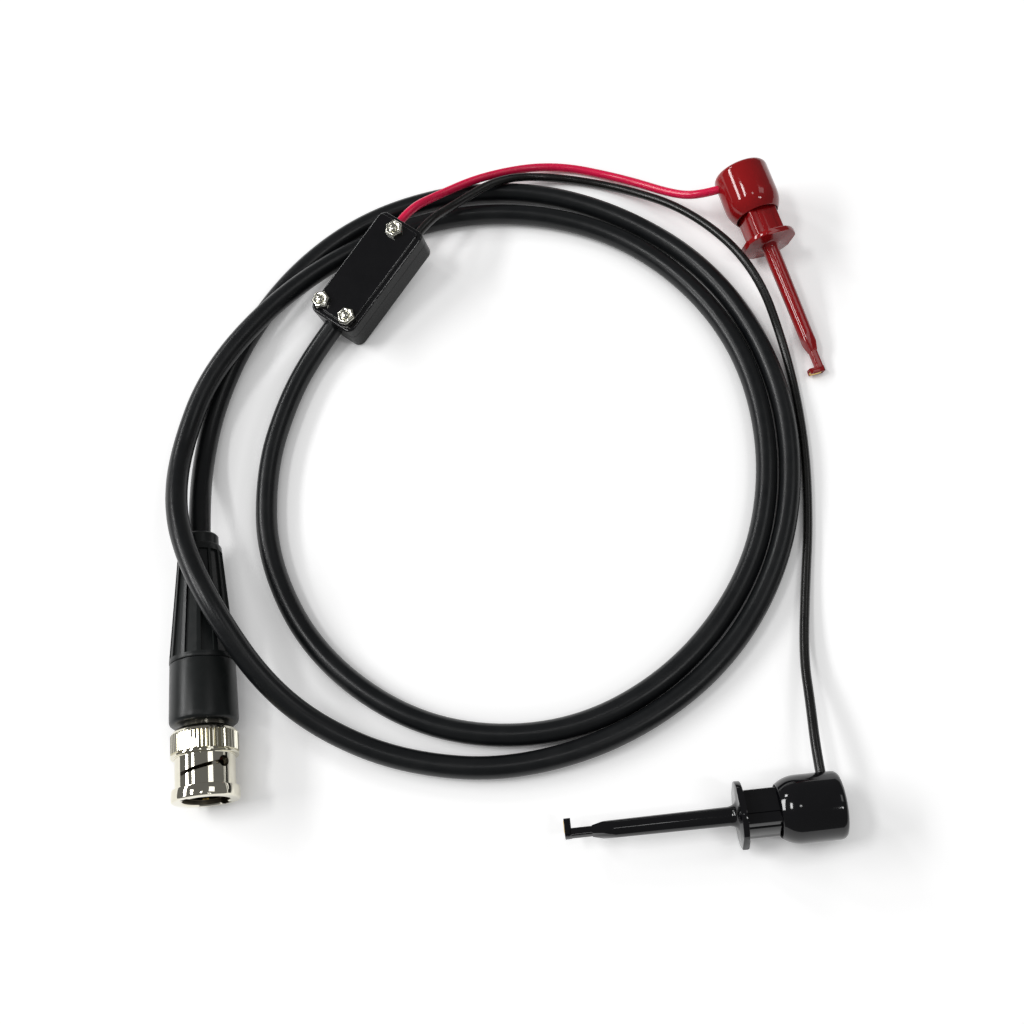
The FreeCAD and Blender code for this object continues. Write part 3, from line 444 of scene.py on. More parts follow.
@dataclass
class Plug:
    """Bayonet plug: nut, contacts, collar and the tapered sleeve of its boot."""

    finishes: Finishes
    seat: Seat = field(default_factory=plug_seat)
    nut_radius: float = 7.15
    barrel_radius: float = 6.35
    bore_radius: float = 4.9
    barrel_start: float = 2.6
    barrel_end: float = 9.2
    knurl_start: float = 10.0
    knurl_end: float = 14.0
    knurl_count: int = 50
    knurl_drops: tuple[float, ...] = (0.0, 0.03, 0.27, 0.5, 0.27, 0.03)
    length: float = 15.6
    slot_width: float = 2.2
    slit_width: float = 0.8
    groove_radius: float = 5.85
    slot_start: float = 5.2
    slot_rise: float = 2.0
    slot_turn: float = 90.0
    slot_steps: int = 30
    hole_width: float = 2.4
    roll: float = 55.0
    collar_start: float = 15.9
    collar_end: float = 29.7
    collar_front_radius: float = 7.35
    collar_rear_radius: float = 7.1
    sleeve_rear_radius: float = 4.8
    cable_hole_radius: float = 2.55
    sleeve_end: float = 57.3
    neck_end: float = 60.1
    flutes: int = 12
    flute_steps: int = 16
    flute_share: float = 0.38
    flute_depth: float = 0.6
    flute_edge: float = 0.07
    flute_start: float = 30.9
    flute_end: float = 55.6
    flute_roll: float = -3.5

    def nut(self) -> None:
        """Coupling nut with its knurl, bayonet slots and locking holes."""
        rim, barrel = self.nut_radius, self.barrel_radius
        bm = spun([
            (self.bore_radius + 0.25, 0.0), (rim - 0.35, 0.0), (rim - 0.17, 0.05),
            (rim - 0.05, 0.17), (rim, 0.35),
            (rim, self.barrel_start - 0.3), (rim - 0.09, self.barrel_start - 0.09),
            (rim - 0.3, self.barrel_start),
            (barrel + 0.12, self.barrel_start), (barrel, self.barrel_start + 0.12),
            (barrel, self.barrel_end - 0.12), (barrel + 0.12, self.barrel_end),
            (rim - 0.22, self.barrel_end), (rim - 0.06, self.barrel_end + 0.06),
            (rim, self.barrel_end + 0.22),
            (rim, self.barrel_end + 0.42), (rim - 0.1, self.barrel_end + 0.52),
            (rim - 0.34, self.barrel_end + 0.56),
            (rim - 0.34, self.knurl_start - 0.02), (rim - 0.02, self.knurl_start),
            (rim, self.knurl_start + 0.12),
            (rim, self.knurl_end - 0.12), (rim - 0.03, self.knurl_end),
            (rim - 0.14, self.knurl_end + 0.14),
            (rim - 0.28, self.knurl_end + 0.45), (rim - 0.55, self.knurl_end + 0.8),
            (rim - 0.95, self.knurl_end + 1.1),
            (rim - 1.5, self.knurl_end + 1.4), (rim - 2.1, self.knurl_end + 1.56),
            (rim - 2.5, self.length),
            (4.4, self.length), (4.4, 12.4), (self.bore_radius, 12.4), (self.bore_radius, 0.25),
        ], self.knurl_count * len(self.knurl_drops), closed=True)
        self.knurl(bm)
        # The bore's faces take the darker nickel: painted shade inside the nut.
        piece = finished("bayonet_nut", bm, self.seat, self.finishes.of(Finish.NICKEL),
                         Shade.CREASED, self.finishes.of(Finish.DULL_NICKEL), self.inside)
        carve(piece, self.nut_cutters())
        self.sharpen(piece)
        placed(piece, "plug_nut", "coupling_nut")

    def inside(self, face: bmesh.types.BMFace) -> bool:
        """Whether a face belongs to the nut's bore, which gets the darker nickel as painted shade.
        """
        middle = face.calc_center_median()
        return math.hypot(middle.x, middle.y) < self.bore_radius + 0.05

    def knurl(self, bm: bmesh.types.BMesh) -> None:
        """Press the grooves of the knurl into the rear ring."""
        steps = len(self.knurl_drops)
        step = 2 * math.pi / (self.knurl_count * steps)
        inner = self.knurl_start + 0.05, self.knurl_end - 0.05
        for vert in bm.verts:
            radius = math.hypot(vert.co.x, vert.co.y)
            if radius < self.nut_radius - 0.01 or not inner[0] < vert.co.z < inner[1]:
                continue
            place = round(math.atan2(vert.co.y, vert.co.x) / step) % steps
            share = (radius - self.knurl_drops[place]) / radius
            vert.co.x *= share
            vert.co.y *= share

    def helix(self, inner: float, outer: float, width: float) -> bmesh.types.BMesh:
        """Slot that climbs around the nut between two radii, as a cutter."""
        low, high = self.slot_start - width / 2, self.slot_start + width / 2
        bm = bmesh.new()
        corners = ((inner, low), (outer, low), (outer, high), (inner, high))
        face = bm.faces.new([bm.verts.new((radius, 0, height)) for radius, height in corners])
        bmesh.ops.spin(bm, geom=[face], cent=(0, 0, 0), axis=(0, 0, 1),
                       dvec=(0, 0, self.slot_rise / self.slot_steps),
                       angle=math.radians(self.slot_turn), steps=self.slot_steps,
                       use_duplicate=False)
        bmesh.ops.holes_fill(bm, edges=bm.edges, sides=4)
        bmesh.ops.recalc_face_normals(bm, faces=bm.faces)
        return bm

    def nut_cutters(self) -> list[bpy.types.Object]:
        """Shapes of the entry channels, the grooves and slits, and the holes."""
        # The walls these shapes cut take the darker nickel: painted shade in the slots, grooves and
        # holes.
        painted_shade_nickel = self.finishes.of(Finish.DULL_NICKEL)
        cutters = []
        middle = self.slot_start + self.slot_rise
        for side in (0, 180):
            turn = Matrix.Rotation(math.radians(self.roll + side), 4, "Z")
            hole = bmesh.new()
            bmesh.ops.create_cone(hole, cap_ends=True, segments=40, depth=6.0,
                                  radius1=self.hole_width / 2, radius2=self.hole_width / 2,
                                  matrix=Matrix.Translation((0, 6.6, middle))
                                  @ Matrix.Rotation(math.pi / 2, 4, "X"))
            shapes = {"groove": self.helix(4.0, self.groove_radius, self.slot_width),
                      "slit": self.helix(5.0, 9.0, self.slit_width), "hole": hole}
            for name, shape in shapes.items():
                bmesh.ops.transform(shape, matrix=turn, verts=shape.verts)
                cutters.append(finished(f"{name}_{side}", shape, self.seat, painted_shade_nickel))
        reach, half = self.groove_radius, self.slot_width / 2
        channel = block((-reach, -half, -1.0), (reach, half, self.slot_start))
        bmesh.ops.transform(channel, matrix=Matrix.Rotation(math.radians(self.roll), 4, "Z"),
                            verts=channel.verts)
        cutters.append(finished("channel", channel, self.seat, painted_shade_nickel))
        return cutters

    def sharpen(self, piece: bpy.types.Object) -> None:
        """Shade the cut edges of a carved piece as sharp."""
        bm = bmesh.new()
        bm.from_mesh(piece.data)
        for face in bm.faces:
            face.smooth = True
        for edge in bm.edges:
            edge.smooth = len(edge.link_faces) == 2 and edge.calc_face_angle(0.0) < math.radians(32)
        bm.to_mesh(piece.data)
        bm.free()

    def collar(self) -> None:
        """Plain front part of the boot."""
        front, rear = self.collar_front_radius, self.collar_rear_radius
        start, end, hole = self.collar_start, self.collar_end, self.cable_hole_radius
        bm = spun([
            (4.35, start + 0.3), (front - 0.9, start + 0.3), (front - 0.5, start + 0.4),
            (front - 0.18, start + 0.68),
            (front - 0.03, start + 1.15), (front - 0.03, start + 2.2), (rear - 0.04, end - 0.3),
            (rear - 0.1, end - 0.08), (rear - 0.26, end),
            (hole, end), (hole, 28.1), (3.3, 28.1), (3.3, 17.6), (4.35, 17.6),
        ], 160, closed=True)
        piece = finished("boot_front", bm, self.seat, self.finishes.of(Finish.BOOT))
        placed(piece, "lead", "boot_collar")

    def sleeve(self) -> None:
        """Tapered rear part of the boot, with sunk panels between ribs."""
        start, end = self.collar_end + 0.02, self.sleeve_end
        steps = self.flutes * self.flute_steps
        front, rear, hole = self.collar_rear_radius, self.sleeve_rear_radius, self.cable_hole_radius
        slope = (rear - front) / (end - 0.3 - start - 1.2)

        def radius(height: float) -> float:
            """Radius of the taper at a height."""
            return front + slope * (height - start - 1.2)

        bm = spun([
            (hole, start), (6.85, start), (7.05, start + 0.08), (7.12, start + 0.25),
            (7.13, start + 0.7),
            (7.1, start + 1.05), (radius(self.flute_start), self.flute_start),
            (radius(self.flute_end), self.flute_end), (radius(end - 0.3), end - 0.3),
            (4.6, end), (4.2, end), (4.2, self.neck_end - 0.35), (3.9, self.neck_end),
            (hole, self.neck_end),
        ], steps, closed=True)
        sector = 2 * math.pi / self.flutes
        panels = [[] for _ in range(self.flutes)]
        for face in bm.faces:
            middle = face.calc_center_median()
            inner = math.hypot(middle.x, middle.y) < 4.4
            if inner or not self.flute_start < middle.z < self.flute_end:
                continue
            angle = math.atan2(middle.y, middle.x) % (2 * math.pi)
            offset = (angle + sector / 2) % sector - sector / 2
            if abs(offset) < self.flute_share * sector:
                panels[round((angle - offset) / sector) % self.flutes].append(face)
        for panel in panels:
            bmesh.ops.inset_region(bm, faces=panel, thickness=self.flute_edge,
                                   depth=-self.flute_depth,
                                   use_even_offset=True, use_boundary=True)
        for number, panel in enumerate(panels):
            centre = Vector((math.cos(number * sector), math.sin(number * sector), 0))
            for vert in {vert for face in panel for vert in face.verts}:
                flat = Vector((vert.co.x, vert.co.y, 0))
                stretch = flat.length / flat.dot(centre)
                vert.co.x *= stretch
                vert.co.y *= stretch
        turn = Matrix.Rotation(math.radians(self.flute_roll), 3, "Z")
        bmesh.ops.rotate(bm, cent=(0, 0, 0), matrix=turn, verts=bm.verts)
        piece = finished("boot_taper", bm, self.seat, self.finishes.of(Finish.BOOT), Shade.CREASED)
        placed(piece, "lead", "boot_sleeve")

    def build(self) -> None:
        """Every visible piece of the plug."""
        self.nut()
        self.collar()
        self.sleeve()


# ---------------------------------------------------------------- junction box

@dataclass
class JunctionBox:
    """Two-part box held by three screws with nuts on top."""

    finishes: Finishes
    seat: Seat = field(default_factory=box_seat)
    length: float = 31.0
    width: float = 13.6
    height: float = 9.2
    parting: float = 5.4
    corner: float = 2.0
    ledge: float = 1.3
    screws: tuple[tuple[float, float], ...] = ((-12.4, -3.45), (-12.4, 4.75), (12.4, 0.325))
    nut_across: float = 4.0
    nut_height: float = 1.3
    lead_rows: tuple[float, float] = (2.7, -3.4)
    cable_row: tuple[float, float] = (0.65, 4.0)
    cable_channel: float = 2.65
    lead_channel: float = 1.12
    plate_rise: float = 0.5
    screw_radius: float = 0.95
    screw_head: float = 1.72

    def shell(self, low: float, high: float, shrink: float = 0.0) -> bmesh.types.BMesh:
        """Block of the box's outline between two heights, its corners rounded."""
        half_long, half_wide = self.length / 2 - shrink, self.width / 2 - shrink
        bm = block((-half_long, -half_wide, low), (half_long, half_wide, high))
        round_edges(bm, self.corner, 6, upright)
        return bm

    def drills(self) -> list[bpy.types.Object]:
        """Channels of the cable and the leads, as cutters."""
        case = self.finishes.of(Finish.CASE)
        cutters = []
        places = [(-self.length / 2, self.cable_row[0], self.cable_row[1],
                   self.cable_channel)]
        places += [(self.length / 2, row, self.parting, self.lead_channel)
                   for row in self.lead_rows]
        for number, (end, row, rise, radius) in enumerate(places):
            drill = bmesh.new()
            bmesh.ops.create_cone(drill, cap_ends=True, segments=48, depth=10.0,
                                  radius1=radius, radius2=radius,
                                  matrix=Matrix.Translation((end, row, rise))
                                  @ Matrix.Rotation(math.pi / 2, 4, "Y"))
            cutters.append(finished(f"drill_{number}", drill, self.seat, case))
        return cutters

    def case(self) -> None:
        """Lower shell with a fine shadow line at the parting."""
        bm = self.shell(0.0, self.parting - 0.05)
        round_edges(bm, 0.18, 2, lambda edge: not upright(edge), angle=50.0)
        piece = finished("box_case", bm, self.seat, self.finishes.of(Finish.CASE))
        carve(piece, self.drills())
        placed(weighed(piece), "lead", "box_base")

    def cover(self) -> None:
        """Upper shell and the raised plate on it."""
        rim = self.height - self.plate_rise
        wall = self.shell(self.parting + 0.05, rim)
        round_edges(wall, 0.45, 5, lambda edge: not upright(edge)
                    and min(v.co.z for v in edge.verts) > rim - 0.05, angle=50.0)
        plate = block((-self.length / 2 + self.ledge, -self.width / 2 + self.ledge, rim - 0.3),
                      (self.length / 2 - 1.0, self.width / 2 - 0.4, self.height))
        round_edges(plate, 0.9, 5, upright)
        round_edges(plate, 0.28, 3, lambda edge: not upright(edge)
                    and min(v.co.z for v in edge.verts) > self.height - 0.05, angle=50.0)
        shell = finished("cover_shell", wall, self.seat, self.finishes.of(Finish.CASE),
                         second=self.finishes.of(Finish.COVER))
        carve(shell, self.drills())
        placed(weighed(shell), "lead", "box_cover")
        piece = finished("cover_plate", plate, self.seat, self.finishes.of(Finish.COVER))
        placed(weighed(piece), "lead")

    def fasteners(self) -> None:
        """Hexagon nuts on top with the ends of the screws in them."""
        nuts, sinks, ends = [], [], []
        for number, (x, y) in enumerate(self.screws):
            radius = self.nut_across / math.sqrt(3)
            nut = bmesh.new()
            turn = Matrix.Rotation(math.radians(17 + 23 * number), 4, "Z")
            middle = self.height + self.nut_height / 2
            bmesh.ops.create_cone(nut, cap_ends=True, segments=6, depth=self.nut_height,
                                  radius1=radius, radius2=radius,
                                  matrix=Matrix.Translation((x, y, middle)) @ turn)
            tops = [face for face in nut.faces if face.normal.z > 0.9]
            bmesh.ops.inset_region(nut, faces=tops, thickness=0.3, depth=0.0)
            rim = {edge for face in nut.faces if abs(face.normal.z) < 0.3 for edge in face.edges
                   if min(v.co.z for v in edge.verts) > self.height + self.nut_height - 0.01}
            bmesh.ops.translate(nut, vec=(0, 0, -0.3),
                                verts=list({vert for edge in rim for vert in edge.verts}))
            round_edges(nut, 0.07, 2, angle=12.0)
            nuts.append(nut)
            top = self.height + self.nut_height
            sink = bmesh.new()
            bmesh.ops.create_cone(sink, cap_ends=True, segments=40, depth=1.0,
                                  radius1=0.75, radius2=1.6,
                                  matrix=Matrix.Translation((x, y, top - 0.05)))
            sinks.append(sink)
            end = spun([(0.0, 0.5), (self.screw_head, 0.5), (self.screw_head, 1.0),
                        (self.screw_radius, 1.0), (self.screw_radius, self.height + 0.5),
                        (0.93, top + 0.08), (0.86, top + 0.22), (0.7, top + 0.33),
                        (0.4, top + 0.39),
                        (0.0, top + 0.4)], 40)
            bmesh.ops.translate(end, vec=(x, y, 0), verts=end.verts)
            ends.append(end)
        bright = self.finishes.of(Finish.SCREW)
        nuts_piece = finished("cover_nuts", joined(nuts), self.seat, bright)
        carve(nuts_piece, [finished("countersinks", joined(sinks), self.seat, bright)])
        placed(nuts_piece, "lead", "box_nuts")
        placed(finished("screw_ends", joined(ends), self.seat, bright), "lead", "box_screws")

    def build(self) -> None:
        """Every visible piece of the box."""
        self.case()
        self.cover()
        self.fasteners()


# ---------------------------------------------------------------- clips

@dataclass
class Clip:
    """Sprung hook clip: thumb cap, sliding barrel and the hook in its foot."""

    colour: str
    seat: Seat
    barrel_roll: float
    plastic: Finish
    finishes: Finishes
    cap_radius: float = 6.8
    cap_length: float = 13.6
    cavity_radius: float = 5.2
    cavity_floor: float = 7.4
    shank_start: float = 12.0
    flange_start: float = 20.5
    flange_end: float = 21.8
    flange_radius: float = 6.8
    shank_half: float = 3.75
    rib_reach: float = 4.05
    rib_half: float = 1.7
    nose_radius: float = 1.775
    nose_end: float = 46.8
    taper_end: float = 51.3
    foot_start: float = 55.5
    foot_end: float = 56.9
    foot_reach: float = 3.0
    groove: float = 0.9
    stem: float = 1.75

    def cap(self) -> None:
        """Thumb cap: a domed cup with a flat, slightly slanted end."""
        top, radius = self.cap_length, self.cap_radius
        middle = top - 4.2
        dome = [(math.sqrt(radius ** 2 - rise ** 2), middle + rise)
                for rise in (0.0, 0.6, 1.2, 1.8, 2.4, 3.0, 3.6, 4.0)]
        bm = spun([
            (0.0, 0.9), (radius - 1.0, 0.75), (radius - 0.45, 0.95), (radius - 0.1, 1.45),
            (radius, 2.1),
            *dome, (5.4, top - 0.03), (self.cavity_radius + 0.06, top),
            (self.cavity_radius, top - 0.12),
            (self.cavity_radius, self.cavity_floor), (0.0, self.cavity_floor),
        ], 128)
        piece = finished(f"{self.colour}_thumb_cap", bm, self.seat,
                         self.finishes.of(self.plastic), Shade.SMOOTH)
        placed(piece, "lead", f"{self.colour}_cap")

    def barrel(self) -> None:
        """Sliding barrel: ribbed shank, flange, long nose and foot."""
        top, half = self.flange_start + 0.2, self.stem / 2
        flange = spun([
            (0.0, self.flange_start), (self.flange_radius - 0.25, self.flange_start),
            (self.flange_radius - 0.06, self.flange_start + 0.08),
            (self.flange_radius, self.flange_start + 0.28),
            (self.flange_radius, self.flange_end - 0.28),
            (self.flange_radius - 0.06, self.flange_end - 0.08),
            (self.flange_radius - 0.25, self.flange_end), (3.2, self.flange_end),
            (2.5, self.flange_end + 0.35), (2.1, self.flange_end + 0.95),
            (1.925, self.flange_end + 1.7),
            (self.nose_radius, self.nose_end), (self.nose_radius, self.taper_end),
            (0.0, self.taper_end),
        ], 80)
        self.sharpened(flange)
        wide = self.shank_half
        shank = block((-wide, -wide, self.shank_start), (wide, wide, top))
        round_edges(shank, 0.6, 4, upright)
        ribs = []
        for long_side, short_side in ((self.rib_reach, self.rib_half),
                                      (self.rib_half, self.rib_reach)):
            rib = block((-long_side, -short_side, self.shank_start), (long_side, short_side, top))
            round_edges(rib, 0.12, 2, upright)
            ribs.append(rib)
        stem = block((-half, -half, self.taper_end - 0.4), (half, half, self.foot_start + 0.3))
        round_edges(stem, 0.35, 4, upright)
        floor = self.foot_end - self.groove
        foot = [block((-0.88, -half, self.foot_start), (self.foot_reach, half, floor + 0.02)),
                block((-0.88, -half, floor - 0.2), (-self.groove / 2, half, self.foot_end))]
        for side in (-1, 1):
            low, high = sorted((side * self.groove / 2, side * half))
            foot.append(block((-0.88, low, floor - 0.2), (self.foot_reach, high, self.foot_end)))
        for piece in foot:
            round_edges(piece, 0.1, 2)
        bm = joined([flange, shank, *ribs, stem, *foot])
        seat = self.seat.rolled(self.barrel_roll)
        piece = finished(f"{self.colour}_slide_barrel", bm, seat, self.finishes.of(self.plastic))
        placed(piece, f"{self.colour}_plunger", f"{self.colour}_barrel")

    def sharpened(self, bm: bmesh.types.BMesh) -> None:
        """Cut the nose's end to a four-sided taper."""
        lean = math.radians(10.2)
        for quarter in range(4):
            turn = Matrix.Rotation(quarter * math.pi / 2, 3, "Z")
            bmesh.ops.bisect_plane(bm, geom=[*bm.verts, *bm.edges, *bm.faces], dist=1e-5,
                                   plane_co=turn @ Vector((self.stem / 2, 0, self.taper_end)),
                                   plane_no=turn @ Vector((math.cos(lean), 0, math.sin(lean))),
                                   clear_outer=True)
            bmesh.ops.holes_fill(bm, edges=[edge for edge in bm.edges if edge.is_boundary], sides=0)

    def build(self) -> None:
        """Every visible piece of the clip."""
        self.cap()
        self.barrel()


# ---------------------------------------------------------------- cables

@dataclass(frozen=True)
class Route:
    """A cable or lead: its corners in millimetres, its thickness and finish, and the CAD node it
    stands in for.
    """

    name: str
    node: str
    diameter: float
    length: float
    far_end: str
    stiffness: str
    finish: Finish
    corners: tuple[Point, ...]

    def build(self, finishes: Finishes) -> None:
        curve = bpy.data.curves.new(self.name, "CURVE")
        curve.dimensions = "3D"
        spline = curve.splines.new("NURBS")
        spline.points.add(len(self.corners) - 1)
        for point, corner in zip(spline.points, self.corners):
            point.co = (*(Vector(corner) * MM), 1.0)
        spline.order_u = 3
        spline.use_endpoint_u = True
        spline.resolution_u = 12
        curve.bevel_depth = self.diameter / 2 * MM
        curve.bevel_resolution = 8
        curve.use_fill_caps = True
        curve.materials.append(finishes.of(self.finish))
        piece = bpy.data.objects.new(self.name, curve)
        bpy.context.scene.collection.objects.link(piece)
        placed(piece, "lead", self.node)


COAX = Route("coaxial_cable", "coax_cable", 4.95, 0.938, "object", "medium", Finish.CABLE, (
    (-42.9, 45.35, 4.3), (-48.75, 37.71, 2.5), (-54.45, 24.61, 2.5), (-58.45, 6.11, 2.5),
    (-56.45, -17.39, 2.5), (-42.95, -41.39, 2.5), (-17.95, -57.89, 2.5), (11.55, -59.39, 2.5),
    (36.55, -46.39, 2.5), (54.05, -23.89, 2.5), (60.55, 2.11, 2.5), (58.05, 29.11, 2.5),
    (47.05, 51.11, 2.5), (29.05, 68.11, 2.5), (7.05, 76.61, 2.5), (-16.45, 77.11, 2.5),
    (-39.95, 68.61, 2.5), (-57.95, 49.61, 8.5), (-72.95, 29.61, 8.0), (-77.95, 9.11, 7.5),
    (-75.95, -6.89, 12.5), (-70.95, -19.89, 16.0), (-62.95, -33.89, 16.0), (-52.95, -47.89, 9.5),
    (-40.45, -57.39, 5.0), (-22.45, -64.39, 2.5), (0.55, -66.39, 2.5), (26.05, -58.89, 2.5),
    (48.05, -42.39, 2.5), (62.05, -17.89, 2.5), (66.05, 10.61, 2.5), (61.05, 36.61, 2.5),
    (48.55, 58.61, 2.5), (29.55, 74.11, 2.5), (8.05, 83.11, 2.5), (-14.45, 84.11, 2.5),
    (-36.95, 77.11, 2.5), (-54.45, 62.61, 2.5), (-66.45, 43.11, 2.5), (-72.45, 24.11, 2.5),
    (-73.95, 7.61, 3.0), (-71.8, -7.62, 7.35), (-70.59, -17.04, 7.35),
))
RED_LEAD = Route("red_lead_wire", "red_lead", 2.1, 0.098, "object", "limp", Finish.RED_LEAD, (
    (-28.34, 67.91, 10.73), (-24.78, 72.61, 11.84), (-18.95, 79.11, 8.0), (-6.45, 87.11, 5.5),
    (11.05, 93.11, 1.1), (29.55, 87.4, 1.1), (42.55, 77.11, 6.5), (48.69, 74.61, 9.61),
    (53.95, 76.25, 9.61),
))
BLACK_LEAD = Route("black_lead_wire", "black_lead", 2.1, 0.235, "object", "limp",
                   Finish.BLACK_LEAD, (
    (-23.48, 64.22, 10.73), (-19.92, 68.92, 11.84), (-13.95, 76.61, 7.5), (-2.95, 84.61, 7.0),
    (9.05, 89.11, 1.5), (27.55, 85.0, 1.1), (45.6, 72.2, 7.0), (60.05, 53.11, 9.5),
    (67.05, 33.11, 1.1), (69.05, 10.61, 1.1), (68.05, -9.89, 1.1), (65.55, -27.39, 1.1),
    (63.55, -42.89, 2.5), (63.55, -53.39, 5.0), (63.4, -63.67, 6.87), (63.97, -69.64, 6.87),
))


# ---------------------------------------------------------------- inner pieces

INNER = {
    Finish.NICKEL: ("connector_body", "slip_washer", "crimp_ferrule"),
    Finish.STEEL: ("cable_crimp_ring",),
    Finish.GOLD: ("center_pin", "red_hook", "black_hook"),
    Finish.PTFE: ("contact_insulator", "plug_cable_core", "box_cable_core"),
    Finish.GASKET: ("seal_gasket",),
    Finish.CABLE: ("plug_cable_end", "box_cable_end"),
    Finish.COPPER: ("signal_wire", "ground_braid", "signal_splice", "ground_splice",
                    "red_terminal", "black_terminal"),
    Finish.RED_LEAD: ("red_lead_root", "red_lead_end"),
    Finish.BLACK_LEAD: ("black_lead_root", "black_lead_end"),
}


def dress_inner(finishes: Finishes) -> None:
    """Give every CAD node that stays its finish."""
    for finish, nodes in INNER.items():
        for name in nodes:
            item = bpy.data.objects[name]
            for slot in item.material_slots:
                slot.material = finishes.of(finish)


@dataclass(frozen=True)
class Spring:
    """Spring whose CAD node gives way to a merged steel copy in the same place."""

    node: str
    body: str
    seat: Seat

    def build(self, finishes: Finishes) -> None:
        """Put a merged copy in the node's place."""
        source = bpy.data.objects[self.node]
        bm = bmesh.new()
        bm.from_mesh(source.data)
        bmesh.ops.transform(bm, matrix=self.seat.matrix().inverted() @ source.matrix_world,
                            verts=bm.verts)
        bmesh.ops.remove_doubles(bm, verts=bm.verts, dist=0.001)
        heights = [vert.co.z for vert in bm.verts]
        piece = finished(f"{self.node}_wire", bm, self.seat, finishes.of(Finish.STEEL))
        start, end = (tuple(self.seat.matrix() @ Vector((0, 0, height)))
                      for height in (min(heights), max(heights)))
        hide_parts(self.node)
        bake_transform(piece)
        LOG.info("%s shortens between lead and %s", piece.name, self.body)


# ---------------------------------------------------------------- stage

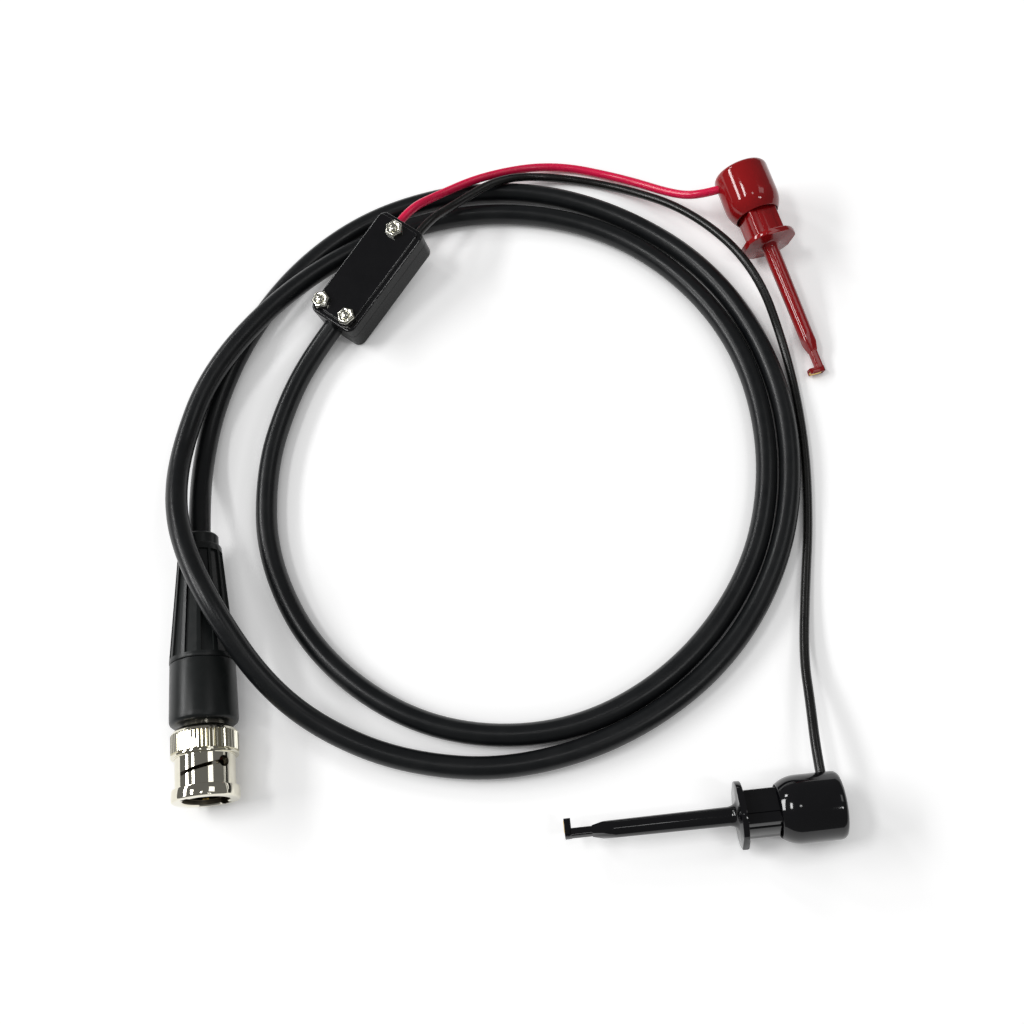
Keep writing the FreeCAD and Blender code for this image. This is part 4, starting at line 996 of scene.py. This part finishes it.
@dataclass(frozen=True)
class Studio:
    """White table, soft lamps and the camera above it."""

    eye: Point = (18.45, -110.5, 250.4)
    aim: Point = (0.25, -5.89, 0.0)
    lens: float = 40.92
    table_lift: float = 0.40
    surround: float = 0.15

    def camera(self) -> None:
        """Camera above the lead, its top edge towards +Y."""
        eye, aim = Vector(self.eye) * MM, Vector(self.aim) * MM
        look = (aim - eye).normalized()
        right = look.cross(Vector((0, 1, 0))).normalized()
        top = right.cross(look)
        data = bpy.data.cameras.new("camera")
        data.lens, data.sensor_width = self.lens, 36.0
        data.clip_start = 0.001
        camera = bpy.data.objects.new("camera", data)
        turn = Matrix((right, top, -look)).transposed().to_4x4()
        camera.matrix_world = Matrix.Translation(eye) @ turn
        bpy.context.scene.collection.objects.link(camera)
        bpy.context.scene.camera = camera

    def floor(self) -> None:
        """White table that keeps the shadows."""
        bm = bmesh.new()
        bmesh.ops.create_grid(bm, x_segments=1, y_segments=1, size=3.0)
        mesh = bpy.data.meshes.new("table")
        bm.to_mesh(mesh)
        bm.free()
        table = bpy.data.objects.new("table", mesh)
        table.data.materials.append(self.paper())
        bpy.context.scene.collection.objects.link(table)

    def paper(self) -> bpy.types.Material:
        """Matte white that the eye and bright metal see a little brighter than its light, that lift
        dimmed near objects as painted contact shade.
        """
        recipe = Recipe("table_white")
        recipe.set(Base_Color=(0.9, 0.9, 0.9, 1.0), Roughness=0.9, Specular_IOR_Level=0.1)
        rays = recipe.node("ShaderNodeLightPath")
        seen = recipe.node("ShaderNodeMath", operation="MAXIMUM")
        recipe.link(rays.outputs["Is Camera Ray"], seen.inputs[0])
        recipe.link(rays.outputs["Is Glossy Ray"], seen.inputs[1])
        lift = recipe.node("ShaderNodeMath", operation="MULTIPLY")
        recipe.link(seen.outputs[0], lift.inputs[0])
        lift.inputs[1].default_value = self.table_lift
        # Ambient occlusion dims the lift near objects and between cable turns: painted contact
        # shade.
        painted_contact_shade = recipe.node("ShaderNodeAmbientOcclusion", samples=8)
        painted_contact_shade.inputs["Distance"].default_value = 6.0 * MM
        shown = recipe.node("ShaderNodeMath", operation="MULTIPLY")
        recipe.link(lift.outputs[0], shown.inputs[0])
        recipe.link(painted_contact_shade.outputs["AO"], shown.inputs[1])
        recipe.shader.inputs["Emission Color"].default_value = (1.0, 1.0, 1.0, 1.0)
        recipe.link(shown.outputs[0], recipe.shader.inputs["Emission Strength"])
        return recipe.material

    def lamp(self, lamp: "Lamp") -> None:
        """Rectangular lamp that faces the table, its first side along the world's Y."""
        data = bpy.data.lights.new(lamp.name, "AREA")
        data.shape = "RECTANGLE"
        data.size_y, data.size = lamp.size
        data.energy = lamp.power
        item = bpy.data.objects.new(lamp.name, data)
        item.location = Vector(lamp.place)
        across, _, height = lamp.place
        turn = math.atan2(across, height)
        item.rotation_euler = (0.0, turn, 0.0)
        bpy.context.scene.collection.objects.link(item)

    def world(self) -> None:
        """Pale surroundings that light and fill the reflections."""
        world = bpy.data.worlds.new("surroundings")
        bpy.context.scene.world = world
        world.use_nodes = True
        back = world.node_tree.nodes["Background"]
        back.inputs["Color"].default_value = (1.0, 1.0, 1.0, 1.0)
        back.inputs["Strength"].default_value = self.surround

    def build(self) -> None:
        """Camera, table, lamps and surroundings."""
        self.camera()
        self.floor()
        self.world()
        for lamp in LAMPS:
            self.lamp(lamp)
        bpy.context.scene.view_settings.view_transform = "Standard"


@dataclass(frozen=True)
class Lamp:
    """Soft rectangular lamp: place and size in metres, power in watts."""

    name: str
    place: Point
    size: tuple[float, float]
    power: float


LAMPS = (
    Lamp("strip_high", (-1.26, 0.08, 2.10), (0.75, 0.30), 12.0),
    Lamp("strip_low", (-2.00, 0.35, 1.35), (1.50, 0.35), 26.0),
    Lamp("right_soft", (1.36, 0.60, 2.00), (0.90, 0.80), 3.4),
    Lamp("right", (1.15, -0.65, 2.00), (0.15, 0.50), 4.0),
    Lamp("overhead", (0.01, -0.01, 2.10), (0.20, 0.20), 1.2),
    Lamp("far_left", (-1.53, 1.42, 1.18), (0.35, 0.30), 6.0),
)


# ---------------------------------------------------------------- all of it

def main() -> None:
    """Build the test lead and its stage."""
    logging.basicConfig(level=logging.INFO, format="%(message)s")
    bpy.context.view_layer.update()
    finishes = Finishes()
    Studio().build()
    for route in (COAX, RED_LEAD, BLACK_LEAD):
        route.build(finishes)
    Plug(finishes).build()
    JunctionBox(finishes).build()
    red_seat = clip_seat((57.92, 81.31, 10.21), 287.3, 9.3)
    black_seat = clip_seat((68.15, -74.57, 6.88), 185.4, 0.2)
    Clip("red", red_seat, -10.0, Finish.RED, finishes).build()
    Clip("black", black_seat, 18.0, Finish.BLACK, finishes).build()
    Spring("spring_washer", "plug_washer", plug_seat()).build(finishes)
    Spring("red_spring", "red_plunger", red_seat).build(finishes)
    Spring("black_spring", "black_plunger", black_seat).build(finishes)
    dress_inner(finishes)


if __name__ == "__main__":
    main()
